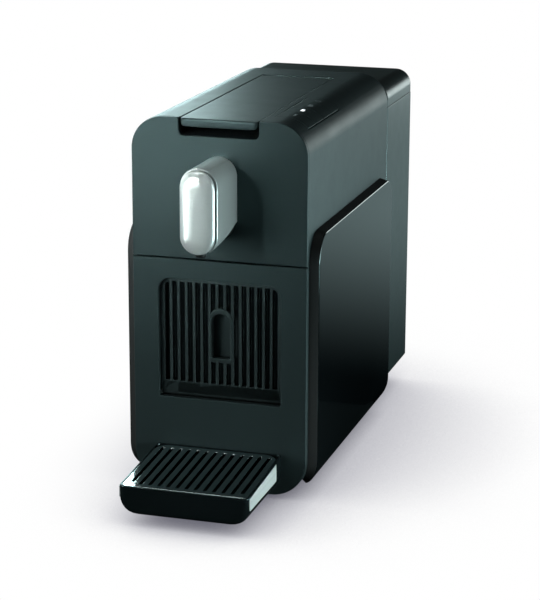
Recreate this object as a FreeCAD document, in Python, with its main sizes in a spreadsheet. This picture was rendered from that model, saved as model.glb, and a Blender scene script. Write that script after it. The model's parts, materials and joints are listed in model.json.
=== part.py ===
import FreeCAD, Part
import math
import os
import re
import Sketcher
from FreeCAD import Vector, Placement, Rotation

# Pod coffee machine. Millimetres, +Z up, front face towards -Y, origin at the
# centre of the footprint on the floor. Lengths along Y in this file are
# counted from the front face plane, which lies at y_face.

doc = FreeCAD.newDocument("PodCoffeeMachine")
sheet = doc.addObject("Spreadsheet::Sheet", "Dims")

DIMS = [
    ("y_face", -107.4, "front face plane in the part frame"),
    ("face_half", 59.5, "half width of the casing"),
    ("body_low", 3.0, "underside of the casing"),
    ("body_top", 253.2, "top of the casing"),
    ("top_round", 21.5, "upper corner radius"),
    ("low_round", 24.0, "lower corner radius"),
    ("wall", 2.5, "casing wall"),
    ("face_thick", 3.0, "front cover thickness"),
    ("shell_back", 212.0, "rear edge of the casing"),
    ("split_z", 30.0, "joint between base tray and upper casing"),
    ("seam_z", 159.9, "joint between fascia and drawer front"),
    ("seam_gap", 1.0, "gap in that joint"),
    ("lid_half", 25.9, "half width of the lid"),
    ("lid_gap", 0.7, "gap at the lid's sides"),
    ("lid_front", -0.7, "front edge of the lid"),
    ("lid_back", 182.0, "rear edge of the lid"),
    ("lid_thick", 2.5, "lid panel thickness"),
    ("notch_half", 27.0, "half width of the finger notch"),
    ("notch_low", 241.5, "bottom of the finger notch"),
    ("notch_round", 3.5, "corner radius of the finger notch"),
    ("axle_y", 175.0, "lid axle"),
    ("axle_z", 248.3, "lid axle"),
    ("axle_r", 1.5, "lid axle radius"),
    ("run_fit", 0.05, "radial running clearance"),
    ("crank_len", 22.0, "crank radius"),
    ("crank_angle", 42.5, "crank behind the vertical at rest, degrees"),
    ("pin_r", 2.5, "crank pin radius"),
    ("brew_z", 208.0, "height of the brew axis"),
    ("cage_r", 22.0, "capsule cage radius"),
    ("cage_front", 88.0, "front of the cage"),
    ("cage_back", 126.0, "rear of the cage"),
    ("panel_half", 65.9, "half width over the side panels"),
    ("panel_front", 4.5, "front edge of a side panel"),
    ("panel_back", 205.5, "rear edge of a side panel"),
    ("panel_top", 180.5, "top edge of a side panel"),
    ("panel_low", 4.6, "lower edge of a side panel"),
    ("panel_round", 24.5, "lower corner radius over the panels"),
    ("panel_bevel", 2.8, "depth of the front bevel"),
    ("tank_front", 212.5, "front of the tank"),
    ("tank_back", 290.0, "rear of the tank"),
    ("tank_low", 20.3, "tank underside"),
    ("tank_seam", 228.8, "tank to lid joint"),
    ("tank_top", 246.0, "top of the tank lid"),
    ("tank_wall", 2.2, "tank wall"),
    ("tank_round", 11.5, "tank lid upper corner radius"),
    ("tank_edge", 4.0, "tank rear vertical edge radius"),
    ("valve_y", 235.0, "tank valve"),
    ("valve_r", 5.3, "tank valve radius"),
    ("dock_half", 46.0, "half width of the tank shelf"),
    ("dock_back", 283.0, "rear of the tank shelf"),
    ("dock_top", 19.8, "top of the tank shelf"),
    ("tray_half", 43.6, "half width of the drip tray"),
    ("tray_front", -75.2, "front of the drip tray"),
    ("tray_low", 8.4, "underside of the drip tray"),
    ("tray_lip", 27.3, "top of the tray at its front edge"),
    ("tray_slope", 3.46, "rise of the tray top, degrees"),
    ("tray_round", 11.5, "tray lower corner radius"),
    ("tray_edge", 4.0, "tray front vertical edge radius"),
    ("grille_pitch", 6.15, "drip grille slot spacing"),
    ("grille_slot", 2.4, "drip grille slot width"),
    ("recess_half", 42.0, "half width of the shelf recess"),
    ("recess_low", 64.8, "bottom of the shelf recess"),
    ("recess_top", 146.3, "top of the shelf recess"),
    ("recess_round", 9.0, "upper corner radius of the recess"),
    ("shelf_gap", 0.4, "gap round the cup shelf"),
    ("shelf_face", 3.4, "cup shelf set back"),
    ("shelf_thick", 4.2, "cup shelf thickness"),
    ("shelf_axis", 67.3, "cup shelf hinge height"),
    ("rib_pitch", 5.32, "cup shelf slot spacing"),
    ("rib_slot", 3.3, "cup shelf slot width"),
    ("rib_low", 75.1, "slot lower end"),
    ("rib_high", 143.3, "slot upper end"),
    ("spout_half", 12.35, "half width of the spout"),
    ("spout_low", 173.6, "bottom of the spout"),
    ("spout_high", 229.4, "top of the spout"),
    ("spout_reach", 41.5, "length of the spout shell"),
    ("spout_tip", 48.0, "front of the spout cap"),
    ("spout_wall", 1.5, "spout shell wall"),
    ("nozzle_y", -37.0, "coffee outlet"),
    ("button_in", 31.0, "inner edge of the buttons"),
    ("button_out", 54.0, "outer edge of the buttons"),
    ("button_y", 22.0, "front edge of the first button"),
    ("button_len", 18.75, "button spacing"),
    ("button_tilt", 20.0, "button travel direction from the vertical"),
    ("bin_half", 46.0, "half width of the capsule bin"),
    ("bin_front", 16.0, "front of the capsule bin"),
    ("bin_back", 136.0, "rear of the capsule bin"),
    ("bin_low", 15.5, "underside of the capsule bin"),
    ("bin_top", 146.0, "top of the capsule bin"),
    ("foot_r", 8.0, "foot radius"),
    ("hose_r", 3.0, "hose outer radius"),
    ("hose_bore", 1.8, "hose inner radius"),
]
VAL = {}
for row, (alias, value, note) in enumerate(DIMS, start=1):
    sheet.set("A%d" % row, alias)
    sheet.set("B%d" % row, "%g" % value)
    sheet.set("C%d" % row, note)
    sheet.setAlias("B%d" % row, alias)
    VAL[alias] = value
doc.recompute()

probe = doc.addObject("App::FeaturePython", "Probe")
probe.addProperty("App::PropertyFloat", "Value", "Base", "a length worked out from the sheet")

WORDS = re.compile(r"\b(" + "|".join(sorted(VAL, key=len, reverse=True)) + r")\b")


def ex(text):
    """Expression text with every dimension word pointed at the sheet."""
    return WORDS.sub(r"Dims.\1", str(text))


def num(text):
    """Value of such an expression, for placements worked out in code."""
    probe.setExpression("Value", ex(text))
    probe.recompute()
    return float(probe.Value)


def bind(obj, prop, text):
    obj.setExpression(prop, ex(text))


def bx(name, x0, x1, y0, y1, z0, z1, local=False):
    o = doc.addObject("Part::Box", name)
    bind(o, "Length", "(%s) - (%s)" % (x1, x0))
    bind(o, "Width", "(%s) - (%s)" % (y1, y0))
    bind(o, "Height", "(%s) - (%s)" % (z1, z0))
    bind(o, "Placement.Base.x", x0)
    bind(o, "Placement.Base.y", "(%s)" % y0 if local else "y_face + (%s)" % y0)
    bind(o, "Placement.Base.z", z0)
    return o


def cy(name, r, axis, p, q, lo, hi, local=False):
    """Cylinder along an axis; p, q are its place on the other two, in order."""
    o = doc.addObject("Part::Cylinder", name)
    bind(o, "Radius", r)
    bind(o, "Height", "(%s) - (%s)" % (hi, lo))
    if axis == "Z":
        x, y, z = p, q, lo
    elif axis == "Y":
        x, y, z = p, lo, q
        o.Placement = Placement(Vector(), Rotation(Vector(1, 0, 0), -90))
    else:
        x, y, z = lo, p, q
        o.Placement = Placement(Vector(), Rotation(Vector(0, 1, 0), 90))
    bind(o, "Placement.Base.x", x)
    bind(o, "Placement.Base.y", "(%s)" % y if local else "y_face + (%s)" % y)
    bind(o, "Placement.Base.z", z)
    return o


def fuse(name, *items):
    o = doc.addObject("Part::MultiFuse", name)
    o.Shapes = list(items)
    o.Refine = True
    return o


def cut(name, base, *tools):
    tool = tools[0] if len(tools) == 1 else fuse(name + "_tools", *tools)
    o = doc.addObject("Part::Cut", name)
    o.Base = base
    o.Tool = tool
    o.Refine = True
    return o


def common(name, a, b):
    o = doc.addObject("Part::Common", name)
    o.Base = a
    o.Tool = b
    o.Refine = True
    return o


def mirror(name, src):
    o = doc.addObject("Part::Mirroring", name)
    o.Source = src
    o.Normal = Vector(1, 0, 0)
    return o


def group(name, *items):
    o = doc.addObject("Part::Compound", name)
    o.Links = list(items)
    return o


def fillet(name, base, radius, pick):
    """Round the edges of base that pick(edge) accepts."""
    doc.recompute()
    r = num(radius)
    edges = [(i, r, r) for i, e in enumerate(base.Shape.Edges, start=1) if pick(e)]
    o = doc.addObject("Part::Fillet", name)
    o.Base = base
    o.Edges = edges
    return o


def origin_plane(body, role):
    return [f for f in body.Origin.OriginFeatures if f.Role == role][0]


def place_sketch(body, name, plane, lo):
    sk = body.newObject("Sketcher::SketchObject", name)
    sk.AttachmentSupport = [(origin_plane(body, plane + "_Plane"), "")]
    sk.MapMode = "FlatFace"
    sign = "-1 * " if plane == "XZ" else ""
    bind(sk, "AttachmentOffset.Base.z", "%s(%s)" % (sign, lo))
    return sk


def pad(body, sk, name, plane, lo, hi):
    p = body.newObject("PartDesign::Pad", name)
    p.Profile = sk
    bind(p, "Length", "(%s) - (%s)" % (hi, lo))
    p.Reversed = plane == "XZ"
    return p


def rect_sketch(sk, a0, a1, b0, b1, radii):
    """Rectangle a0..a1 by b0..b1; radii are low-left, low-right, top-right, top-left."""
    A0, A1, B0, B1 = [num(v) for v in (a0, a1, b0, b1)]
    R = [num(r) for r in radii]
    pts = [(A0, B0), (A1, B0), (A1, B1), (A0, B1)]
    d = [(1, 0), (0, 1), (-1, 0), (0, -1)]
    lines = []
    for i in range(4):
        s, e = pts[i], pts[(i + 1) % 4]
        s2 = Vector(s[0] + d[i][0] * R[i], s[1] + d[i][1] * R[i], 0)
        e2 = Vector(e[0] - d[i][0] * R[(i + 1) % 4], e[1] - d[i][1] * R[(i + 1) % 4], 0)
        lines.append(sk.addGeometry(Part.LineSegment(s2, e2)))
    for i, line in enumerate(lines):
        sk.addConstraint(Sketcher.Constraint("Horizontal" if i % 2 == 0 else "Vertical", line))
    c = sk.addConstraint(Sketcher.Constraint("DistanceY", -1, 1, lines[0], 1, B0))
    sk.setExpression("Constraints[%d]" % c, ex(b0))
    c = sk.addConstraint(Sketcher.Constraint("DistanceX", -1, 1, lines[1], 1, A1))
    sk.setExpression("Constraints[%d]" % c, ex(a1))
    c = sk.addConstraint(Sketcher.Constraint("DistanceY", -1, 1, lines[2], 1, B1))
    sk.setExpression("Constraints[%d]" % c, ex(b1))
    c = sk.addConstraint(Sketcher.Constraint("DistanceX", -1, 1, lines[3], 1, A0))
    sk.setExpression("Constraints[%d]" % c, ex(a0))
    for i in range(4):
        before = lines[(i - 1) % 4]
        if R[i] <= 0:
            sk.addConstraint(Sketcher.Constraint("Coincident", before, 2, lines[i], 1))
            continue
        cx = pts[i][0] + (1 if i in (0, 3) else -1) * R[i]
        cz = pts[i][1] + (1 if i in (0, 1) else -1) * R[i]
        start = math.pi + i * math.pi / 2
        arc = sk.addGeometry(Part.ArcOfCircle(
            Part.Circle(Vector(cx, cz, 0), Vector(0, 0, 1), R[i]), start, start + math.pi / 2))
        sk.addConstraint(Sketcher.Constraint("Tangent", before, 2, arc, 1))
        sk.addConstraint(Sketcher.Constraint("Tangent", arc, 2, lines[i], 1))
        c = sk.addConstraint(Sketcher.Constraint("Radius", arc, R[i]))
        sk.setExpression("Constraints[%d]" % c, ex(radii[i]))


def rr(name, plane, a0, a1, b0, b1, radii, lo, hi, local=False):
    """Rounded rectangle drawn on an origin plane and padded from lo to hi."""
    body = doc.addObject("PartDesign::Body", name)
    sk = place_sketch(body, name + "_sketch", plane, lo)
    rect_sketch(sk, a0, a1, b0, b1, radii)
    pad(body, sk, name + "_pad", plane, lo, hi)
    if not local:
        bind(body, "Placement.Base.y", "y_face")
    return body


def poly(name, plane, points, lo, hi, local=False):
    """Closed polygon drawn on an origin plane and padded from lo to hi."""
    body = doc.addObject("PartDesign::Body", name)
    sk = place_sketch(body, name + "_sketch", plane, lo)
    vals = [(num(a), num(b)) for a, b in points]
    n = len(points)
    for i in range(n):
        a, b = vals[i], vals[(i + 1) % n]
        sk.addGeometry(Part.LineSegment(Vector(a[0], a[1], 0), Vector(b[0], b[1], 0)))
    for i in range(n):
        sk.addConstraint(Sketcher.Constraint("Coincident", i, 2, (i + 1) % n, 1))
        c = sk.addConstraint(Sketcher.Constraint("DistanceX", -1, 1, i, 1, vals[i][0]))
        sk.setExpression("Constraints[%d]" % c, ex(points[i][0]))
        c = sk.addConstraint(Sketcher.Constraint("DistanceY", -1, 1, i, 1, vals[i][1]))
        sk.setExpression("Constraints[%d]" % c, ex(points[i][1]))
    pad(body, sk, name + "_pad", plane, lo, hi)
    if not local:
        bind(body, "Placement.Base.y", "y_face")
    return body


NODES = []


def node(obj, label):
    obj.Label = label
    NODES.append((label, obj))
    return obj


# ---------------------------------------------------------------- casing
outline = ("-face_half", "face_half", "body_low", "body_top",
           ("low_round", "low_round", "top_round", "top_round"))


def outline_in(d):
    return ("-face_half + %s" % d, "face_half - %s" % d, "body_low + %s" % d, "body_top - %s" % d,
            ("low_round - %s" % d, "low_round - %s" % d, "top_round - %s" % d, "top_round - %s" % d))


shell_outer = rr("CasingOuter", "XZ", *outline, "face_thick", "shell_back")
shell_inner = rr("CasingInner", "XZ", *outline_in("wall"), "face_thick - 1", "shell_back + 1")
ring = cut("CasingRing", shell_outer, shell_inner)

tilt = Rotation(Vector(0, 1, 0), num("button_tilt"))
edge_z = num("body_top - top_round + sqrt(top_round * top_round - (button_out - face_half + top_round)^2)")
inv = tilt.inverted()
u_in = inv.multVec(Vector(num("button_in"), 0, num("body_top"))).x
u_out = inv.multVec(Vector(num("button_out"), 0, edge_z)).x
w_low = inv.multVec(Vector(num("button_in"), 0, num("body_top"))).z - 10.0


def tilted_box(name, u0, u1, y0, y1, w0, w1):
    """Box square to the button travel."""
    o = doc.addObject("Part::Box", name)
    o.Length = u1 - u0
    bind(o, "Width", "(%s) - (%s)" % (y1, y0))
    o.Height = w1 - w0
    base = tilt.multVec(Vector(u0, 0, w0))
    o.Placement = Placement(Vector(base.x, 0, base.z), tilt)
    bind(o, "Placement.Base.y", "y_face + (%s)" % y0)
    return o


window = tilted_box("ButtonWindow", u_in, u_out, "button_y", "button_y + 4 * button_len", w_low, w_low + 20)
lid_cut = bx("LidCut", "-lid_half - lid_gap", "lid_half + lid_gap", "0", "lid_back + 1.4", "notch_low", "body_top + 5")
lower_half = bx("LowerHalf", -80, 80, 0, "shell_back + 10", 0, "split_z")
node(cut("MainHousing", ring, lower_half, lid_cut, window), "main_housing")
foot_spots = [("-30", "18"), ("30", "18"), ("-30", "264"), ("30", "264")]
node(common("BaseTray", ring, lower_half), "base_tray")
node(fuse("BasePlate", bx("BaseSheet", -35.2, 35.2, 6, 204, "body_low + wall", 7),
          bx("RailLeft", -35.2, -33.9, 8, 150, 7, 13), bx("RailRight", 33.9, 35.2, 8, 150, 7, 13)), "base_plate")
node(group("Feet", *[cy("Foot%d" % i, "foot_r", "Z", px, py, 0, "body_low")
                     for i, (px, py) in enumerate(foot_spots)]), "feet")

face_blank = rr("FaceBlank", "XZ", *outline, 0, "face_thick")
upper_face = bx("UpperFace", -80, 80, -5, 20, "seam_z + seam_gap / 2", 300)
lower_face = bx("LowerFace", -80, 80, -5, 20, 0, "seam_z - seam_gap / 2")
notch = rr("Notch", "XZ", "-notch_half", "notch_half", "notch_low", "body_top + 10",
           ("notch_round", "notch_round", 0, 0), -5, 10)
node(cut("FrontFascia", common("FasciaUpper", face_blank, upper_face), notch,
         cy("PipeHole", 4.2, "Y", 0, 181, -5, 10)), "front_fascia")

# side panels wrap the lower corners of the casing
panel_blank = rr("PanelBlank", "XZ", "-panel_half", "panel_half", "body_low", "body_top",
                 ("panel_round", "panel_round", "top_round", "top_round"), "panel_front", "panel_back")
panel_side = rr("PanelSide", "YZ", "panel_front", "panel_back", "panel_low", "panel_top", (14, 15, 15, 20), 30, 80)
casing_solid = rr("CasingSolid", "XZ", *outline, "-10", "shell_back + 10")
bevel = doc.addObject("Part::Box", "PanelBevel")
bevel.Length = 20
bevel.Width = 20
bevel.Height = 300
turn = math.degrees(math.atan2(num("panel_bevel"), num("panel_half - face_half")))
bevel.Placement = Placement(Vector(num("face_half"), num("y_face + panel_front"), 0), Rotation(Vector(0, 0, 1), turn)) \
    .multiply(Placement(Vector(-5, -20, 0), Rotation()))
right_panel = cut("SidePanelRight", common("PanelTrim", panel_blank, panel_side), casing_solid, bevel)
node(right_panel, "side_panel_right")
node(mirror("SidePanelLeft", right_panel), "side_panel_left")

rear_blank = rr("RearBlank", "XZ", "-face_half + wall + 0.1", "face_half - wall - 0.1", 22, "body_top - wall - 0.1",
                (4, 4, "top_round - wall - 0.1", "top_round - wall - 0.1"), "shell_back - 2.5", "shell_back")
screw_at = [(-48, 34), (48, 34), (-48, 215), (48, 215)]
node(cut("RearCover", rear_blank, *[cy("CoverHole%d" % i, 1.7, "Y", px, pz, 205, 215)
                                   for i, (px, pz) in enumerate(screw_at)]), "rear_cover")
cover_screws = [cy("CoverScrew%d" % i, 1.7, "Y", px, pz, "shell_back - 10", "shell_back")
                for i, (px, pz) in enumerate(screw_at)]

# ---------------------------------------------------------------- tank shelf
dock_blank = rr("DockBlank", "XY", "-dock_half", "dock_half", "shell_back", "dock_back", (0, 0, 6, 6), "body_low", "dock_top")
dock_room = bx("DockRoom", "-dock_half + 2.5", "dock_half - 2.5", "shell_back - 1", "dock_back - 2.5", "body_low + 2", "dock_top - 2")
node(cut("TankDock", dock_blank, dock_room, cy("DockHole", 9, "Z", 0, "valve_y", 15, 25),
         cy("GlandHole", 5, "Y", 30, 11, 275, 290)), "tank_dock")
node(cut("TankCoupling", fuse("CouplingBlank", cy("CouplingTube", 9, "Z", 0, "valve_y", "body_low + 3", "dock_top"),
                              cy("CouplingStub", 4, "Y", 0, 9, "valve_y - 16", "valve_y")),
         cy("CouplingBore", 7, "Z", 0, "valve_y", 8, 25), cy("CouplingFeed", "hose_bore", "Y", 0, 10, 210, "valve_y")),
     "tank_coupling")
node(cut("CouplingSeal", cy("SealOuter", 7, "Z", 0, "valve_y", 13, 16), cy("SealInner", "valve_r + 0.3", "Z", 0, "valve_y", 10, 20)),
     "coupling_seal")
node(cut("CordGland", fuse("GlandBlank", cy("GlandBarrel", 5, "Y", 30, 11, 278, "dock_back"),
                           cy("GlandFlange", 6.8, "Y", 30, 11, "dock_back", "dock_back + 2.5")),
         cy("GlandBore", 3.5, "Y", 30, 11, 270, 290)), "cord_gland")

# ---------------------------------------------------------------- water tank
tank_blank = rr("TankBlank", "XY", "-face_half", "face_half", "tank_front", "tank_back",
                (1.5, 1.5, "tank_edge", "tank_edge"), "tank_low", "tank_seam - 0.25")
tank_room = rr("TankRoom", "XY", "-face_half + tank_wall", "face_half - tank_wall", "tank_front + tank_wall",
               "tank_back - tank_wall", (1, 1, 2, 2), "tank_low + tank_wall", "tank_seam + 10")
node(cut("WaterTank", tank_blank, tank_room, cy("ValveHole", "valve_r", "Z", 0, "valve_y", 10, 40)), "water_tank")
node(cut("TankValve", cy("ValveBody", "valve_r", "Z", 0, "valve_y", 11, 27),
         cy("ValveBore", 2.5, "Z", 0, "valve_y", 5, 40)), "tank_valve")
lid_a = rr("TankLidA", "XZ", "-face_half", "face_half", "tank_seam", "tank_top", (0, 0, "tank_round", "tank_round"),
           "tank_front", "tank_back")
lid_b = rr("TankLidB", "XY", "-face_half", "face_half", "tank_front", "tank_back", (1.5, 1.5, "tank_edge", "tank_edge"),
           "tank_seam", "tank_top")
lid_c = rr("TankLidC", "XZ", "-face_half + 2", "face_half - 2", "tank_seam - 2", "tank_top - 2",
           (0, 0, "tank_round - 2", "tank_round - 2"), "tank_front + 2", "tank_back - 2")
node(cut("TankLid", common("TankLidBlank", lid_a, lid_b), lid_c), "tank_lid")

# ---------------------------------------------------------------- drip tray
slope = Placement(Vector(0, num("y_face + tray_front"), num("tray_lip")), Rotation(Vector(1, 0, 0), num("tray_slope")))
tray_a = rr("TrayA", "XZ", "-tray_half", "tray_half", "tray_low", 40, ("tray_round", "tray_round", 0, 0), "tray_front", -0.4)
tray_b = rr("TrayB", "XY", "-tray_half", "tray_half", "tray_front", -0.4, ("tray_edge", "tray_edge", 0, 0), "tray_low", 40)
above = bx("TrayAbove", -60, 60, -20, 120, 0, 40, local=True)
above.Placement = slope
above.setExpression("Placement.Base.x", None)
above.setExpression("Placement.Base.y", None)
above.setExpression("Placement.Base.z", None)
above.Placement = slope.multiply(Placement(Vector(-60, -20, 0), Rotation()))
rebate = rr("TrayRebate", "XY", "-tray_half + 1.3", "tray_half - 1.3", 1.4, 73.2, (3, 3, 9.5, 9.5), -1.75, 20, local=True)
rebate.Placement = slope
room = bx("TrayRoom", "-tray_half + 4", "tray_half - 4", "tray_front + 4", -5, "tray_low + 3", 40)
side_r = bx("SideCutRight", "tray_half - 1", "tray_half + 5", "tray_front + 2.5", -14.4, 18.3, 40)
side_l = bx("SideCutLeft", "-tray_half - 5", "-tray_half + 1", "tray_front + 2.5", -14.4, 18.3, 40)
tray_cut = cut("TrayShell", common("TrayBlank", tray_a, tray_b), above, rebate, room, side_r, side_l)
prongs = [bx("ProngRight", 20, 26, -2, 12, 17, 22), bx("ProngLeft", -26, -20, -2, 12, 17, 22)]
node(fuse("DripTrayBase", tray_cut, *prongs), "drip_tray")
plate_r = bx("SidePlateRight", "tray_half - 1", "tray_half", "tray_front + 2.5", -14.4, 18.3, 40)
plate_l = bx("SidePlateLeft", "-tray_half", "-tray_half + 1", "tray_front + 2.5", -14.4, 18.3, 40)
node(cut("TraySidePlates", group("TraySidePair", plate_r, plate_l), above), "tray_side_plates")

grille = rr("GrillePlate", "XY", "-tray_half + 1.6", "tray_half - 1.6", 1.7, 72.9, (2.7, 2.7, 9.2, 9.2), -1.7, -0.3, local=True)
slots = []
for i in range(13):
    slots.append(bx("GrilleSlot%02d" % i, "(%d) * grille_pitch - grille_slot / 2" % (i - 6),
                    "(%d) * grille_pitch + grille_slot / 2" % (i - 6), 6.2 if 0 < i < 12 else 8.4, 68.5, -5, 5, local=True))
grille_cut = cut("DripGrille", grille, *slots)
grille_cut.Placement = slope
node(grille_cut, "drip_grille")

# ---------------------------------------------------------------- capsule drawer
recess = rr("Recess", "XZ", "-recess_half", "recess_half", "recess_low", "recess_top", (0.5, 0.5, "recess_round", "recess_round"), -5, 3.5)
holes = [bx("ProngHoleRight", 19.6, 26.4, -5, 20, 16.6, 22.4), bx("ProngHoleLeft", -26.4, -19.6, -5, 20, 16.6, 22.4)]
node(cut("DrawerFront", common("DrawerFace", face_blank, lower_face), recess, *holes), "drawer_front")
pan_outer = rr("PanOuter", "XZ", "-recess_half - 3", "recess_half + 3", "recess_low - 3", "recess_top + 3",
               (3, 3, "recess_round + 3", "recess_round + 3"), "face_thick", 12)
pan_inner = rr("PanInner", "XZ", "-recess_half", "recess_half", "recess_low", "recess_top",
               (0.5, 0.5, "recess_round", "recess_round"), 0, 10)
node(cut("RecessPan", pan_outer, pan_inner, cy("PanPinHole", 1.2, "X", "shelf_face + shelf_thick / 2", "shelf_axis", -44, 44)),
     "recess_pan")
node(cy("ShelfPin", 1.2, "X", "shelf_face + shelf_thick / 2", "shelf_axis", -44, 44), "shelf_pin")
node(fuse("DrawerFloor", bx("FloorPlate", -33.5, 33.5, "face_thick", 138, 7.4, 9.9),
          bx("FloorRibLeft", -24, -20, 14, 134, 9.9, "bin_low"), bx("FloorRibRight", 20, 24, 14, 134, 9.9, "bin_low")),
     "drawer_floor")
bin_outer = rr("BinOuter", "XZ", "-bin_half", "bin_half", "bin_low", "bin_top", (8, 8, 0, 0), "bin_front", "bin_back")
bin_inner = rr("BinInner", "XZ", "-bin_half + 2", "bin_half - 2", "bin_low + 2", "bin_top + 5", (6, 6, 0, 0),
               "bin_front + 2", "bin_back - 2")
node(cut("CapsuleBin", bin_outer, bin_inner), "capsule_bin")

# cup shelf, folded up flush in its recess
shelf_blank = rr("ShelfBlank", "XZ", "-recess_half + shelf_gap", "recess_half - shelf_gap", "shelf_axis",
                 "recess_top - shelf_gap", (0, 0, "recess_round - shelf_gap", "recess_round - shelf_gap"),
                 "shelf_face", "shelf_face + shelf_thick")
shelf_bar = cy("ShelfBar", "shelf_thick / 2", "X", "shelf_face + shelf_thick / 2", "shelf_axis",
               "-recess_half + shelf_gap", "recess_half - shelf_gap")
ribs = []
for i in range(15):
    x = "(%d) * rib_pitch" % (i - 7)
    top = "rib_high" if 0 < i < 14 else "rib_high - 3.5"
    ribs.append(bx("ShelfSlot%02d" % i, "%s - rib_slot / 2" % x, "%s + rib_slot / 2" % x, 0, 12, "rib_low", top))
arch = rr("ShelfArch", "XZ", -8, 8, 91, 127, (2, 2, 7.999, 7.999), "shelf_face", "shelf_face + shelf_thick")
arch_hole = rr("ShelfArchHole", "XZ", -6.5, 6.5, 93, 123.5, (1.5, 1.5, 6.499, 6.499), 0, 12)
pin_bore = cy("ShelfPinBore", "1.2 + run_fit", "X", "shelf_face + shelf_thick / 2", "shelf_axis", -50, 50)
node(cut("CupShelf", fuse("ShelfWithArch", cut("ShelfSlotted", fuse("ShelfPlate", shelf_blank, shelf_bar), *ribs), arch),
         arch_hole, pin_bore), "cup_shelf")

# ---------------------------------------------------------------- spout
def stadium_in(d):
    q = "spout_half - (%s) - 0.001" % d
    return ("-spout_half + (%s)" % d, "spout_half - (%s)" % d, "spout_low + (%s)" % d, "spout_high - (%s)" % d, (q, q, q, q))


sp_outer = rr("SpoutOuter", "XZ", *stadium_in("0"), "-spout_reach", 0)
sp_inner = rr("SpoutInner", "XZ", *stadium_in("spout_wall"), "-spout_reach - 1", 1)
under = poly("SpoutUnder", "YZ", [("2", "160"), ("2", "188"), ("-spout_reach - 1", "175.6"), ("-spout_reach - 1", "160")], -20, 20)
node(cut("SpoutShell", sp_outer, sp_inner, under), "spout_shell")
core = fuse("CoreBlank", rr("CoreStadium", "XZ", *stadium_in("spout_wall + 0.05"), "-spout_reach + 0.6", 0),
            cy("Nozzle", 3.4, "Z", 0, "nozzle_y", 171.6, 182))
node(cut("SpoutCore", core, cy("CorePipe", 4, "Y", 0, 181, -31, 1), cy("CoreFeed", 2.5, "Y", 0, 181, -39, -30),
         cy("CoreDrop", 1.8, "Z", 0, "nozzle_y", 165, 181)), "spout_core")
cap_blank = rr("CapBlank", "XZ", *stadium_in("0.8"), "-spout_tip", "-spout_reach - 0.6")
front_y = num("y_face - spout_tip")
node(fillet("SpoutCap", cap_blank, "4.5", lambda e: all(abs(v.Y - front_y) < 1e-4 for v in e.Vertexes)), "spout_cap")
node(cut("OutletPipe", cy("PipeOuter", 4, "Y", 0, 181, -31, 50), cy("PipeInner", 2.5, "Y", 0, 181, -35, 60)), "outlet_pipe")
node(cut("CoffeeFunnel", bx("FunnelOuter", -11, 11, 50, 95, 174.5, 185), bx("FunnelInner", -9.5, 9.5, 51.5, 93.5, 176, 190),
         cy("FunnelPort", 2.5, "Y", 0, 181, 45, 55)), "coffee_funnel")
node(cut("CapsuleChute", bx("ChuteOuter", -23, 23, 96.5, 128.5, 150, 182), bx("ChuteInner", -21, 21, 98.5, 126.5, 140, 190)),
     "capsule_chute")

# ---------------------------------------------------------------- brew unit
pin_y = "axle_y + crank_len * sin(crank_angle * 1 deg)"
pin_z = "axle_z - crank_len * cos(crank_angle * 1 deg)"
frame_blank = fuse("FrameBlank", bx("FramePlate", 29, 31.5, 30, 204, 168, 240), bx("FrameEar", 29, 31.5, 167, 183, 238, 250.4))
frame_right = cut("BrewFrameRight", frame_blank, cy("EarBore", "axle_r + run_fit", "X", "axle_y", "axle_z", 20, 40),
                  bx("FrameSlot", 25, 35, 64, 121, "brew_z - 3", "brew_z + 3"),
                  cy("HoseHole", 4, "X", 180, 190, 20, 40))
node(frame_right, "brew_frame_right")
node(mirror("BrewFrameLeft", frame_right), "brew_frame_left")
node(group("FrameSpacers", *[cy("Spacer%d" % i, 3, "X", py, pz, -29, 29)
                             for i, (py, pz) in enumerate([(36, 192), (36, 222), (200, 172)])]), "frame_spacers")
well = fuse("WellBlank", bx("WellFloor", -28.5, 28.5, "face_thick", 160, 239.5, "notch_low"),
            bx("WellWallRight", 27, 28.5, "face_thick", 160, "notch_low", "body_top - wall"),
            bx("WellWallLeft", -28.5, -27, "face_thick", 160, "notch_low", "body_top - wall"))
node(cut("LidWell", well, bx("CapsuleSlot", -19.4, 19.4, 97, 125.6, 230, 245)), "lid_well")
inj = fuse("InjectorBlank", cy("InjectorHead", 20, "Y", 0, "brew_z", "cage_back + 1.6", 142), bx("InjectorBeam", -29, 29, 142, 152, 190, 218))
node(cut("InjectorBlock", inj, cy("InjectorBore", 2.5, "Y", 0, 200, 120, 160)), "injector_block")
node(cut("InjectorSeal", cy("GasketOuter", 19, "Y", 0, "brew_z", "cage_back + 0.3", "cage_back + 1.6"),
         cy("GasketInner", 14, "Y", 0, "brew_z", 120, 130)), "injector_seal")
node(cut("BrewInletTube", cy("InletOuter", 4, "Y", 0, 200, 152, 158), cy("InletInner", 2.5, "Y", 0, 200, 150, 160)),
     "brew_inlet_tube")
block = bx("BlockBlank", -24, 24, 158, 202, 178, 216)
node(cut("Thermoblock", block, cy("BlockFeed", 2.5, "Y", 0, 200, 150, 175), cy("BlockPort", "hose_bore", "X", 180, 190, 10, 30)),
     "thermoblock")
node(fuse("Thermostat", cy("ThermoDisc", 8, "Z", 0, 182, 216, 220), bx("ThermoTabs", -12, 12, 180, 184, 218, 219)), "thermostat")

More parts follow.
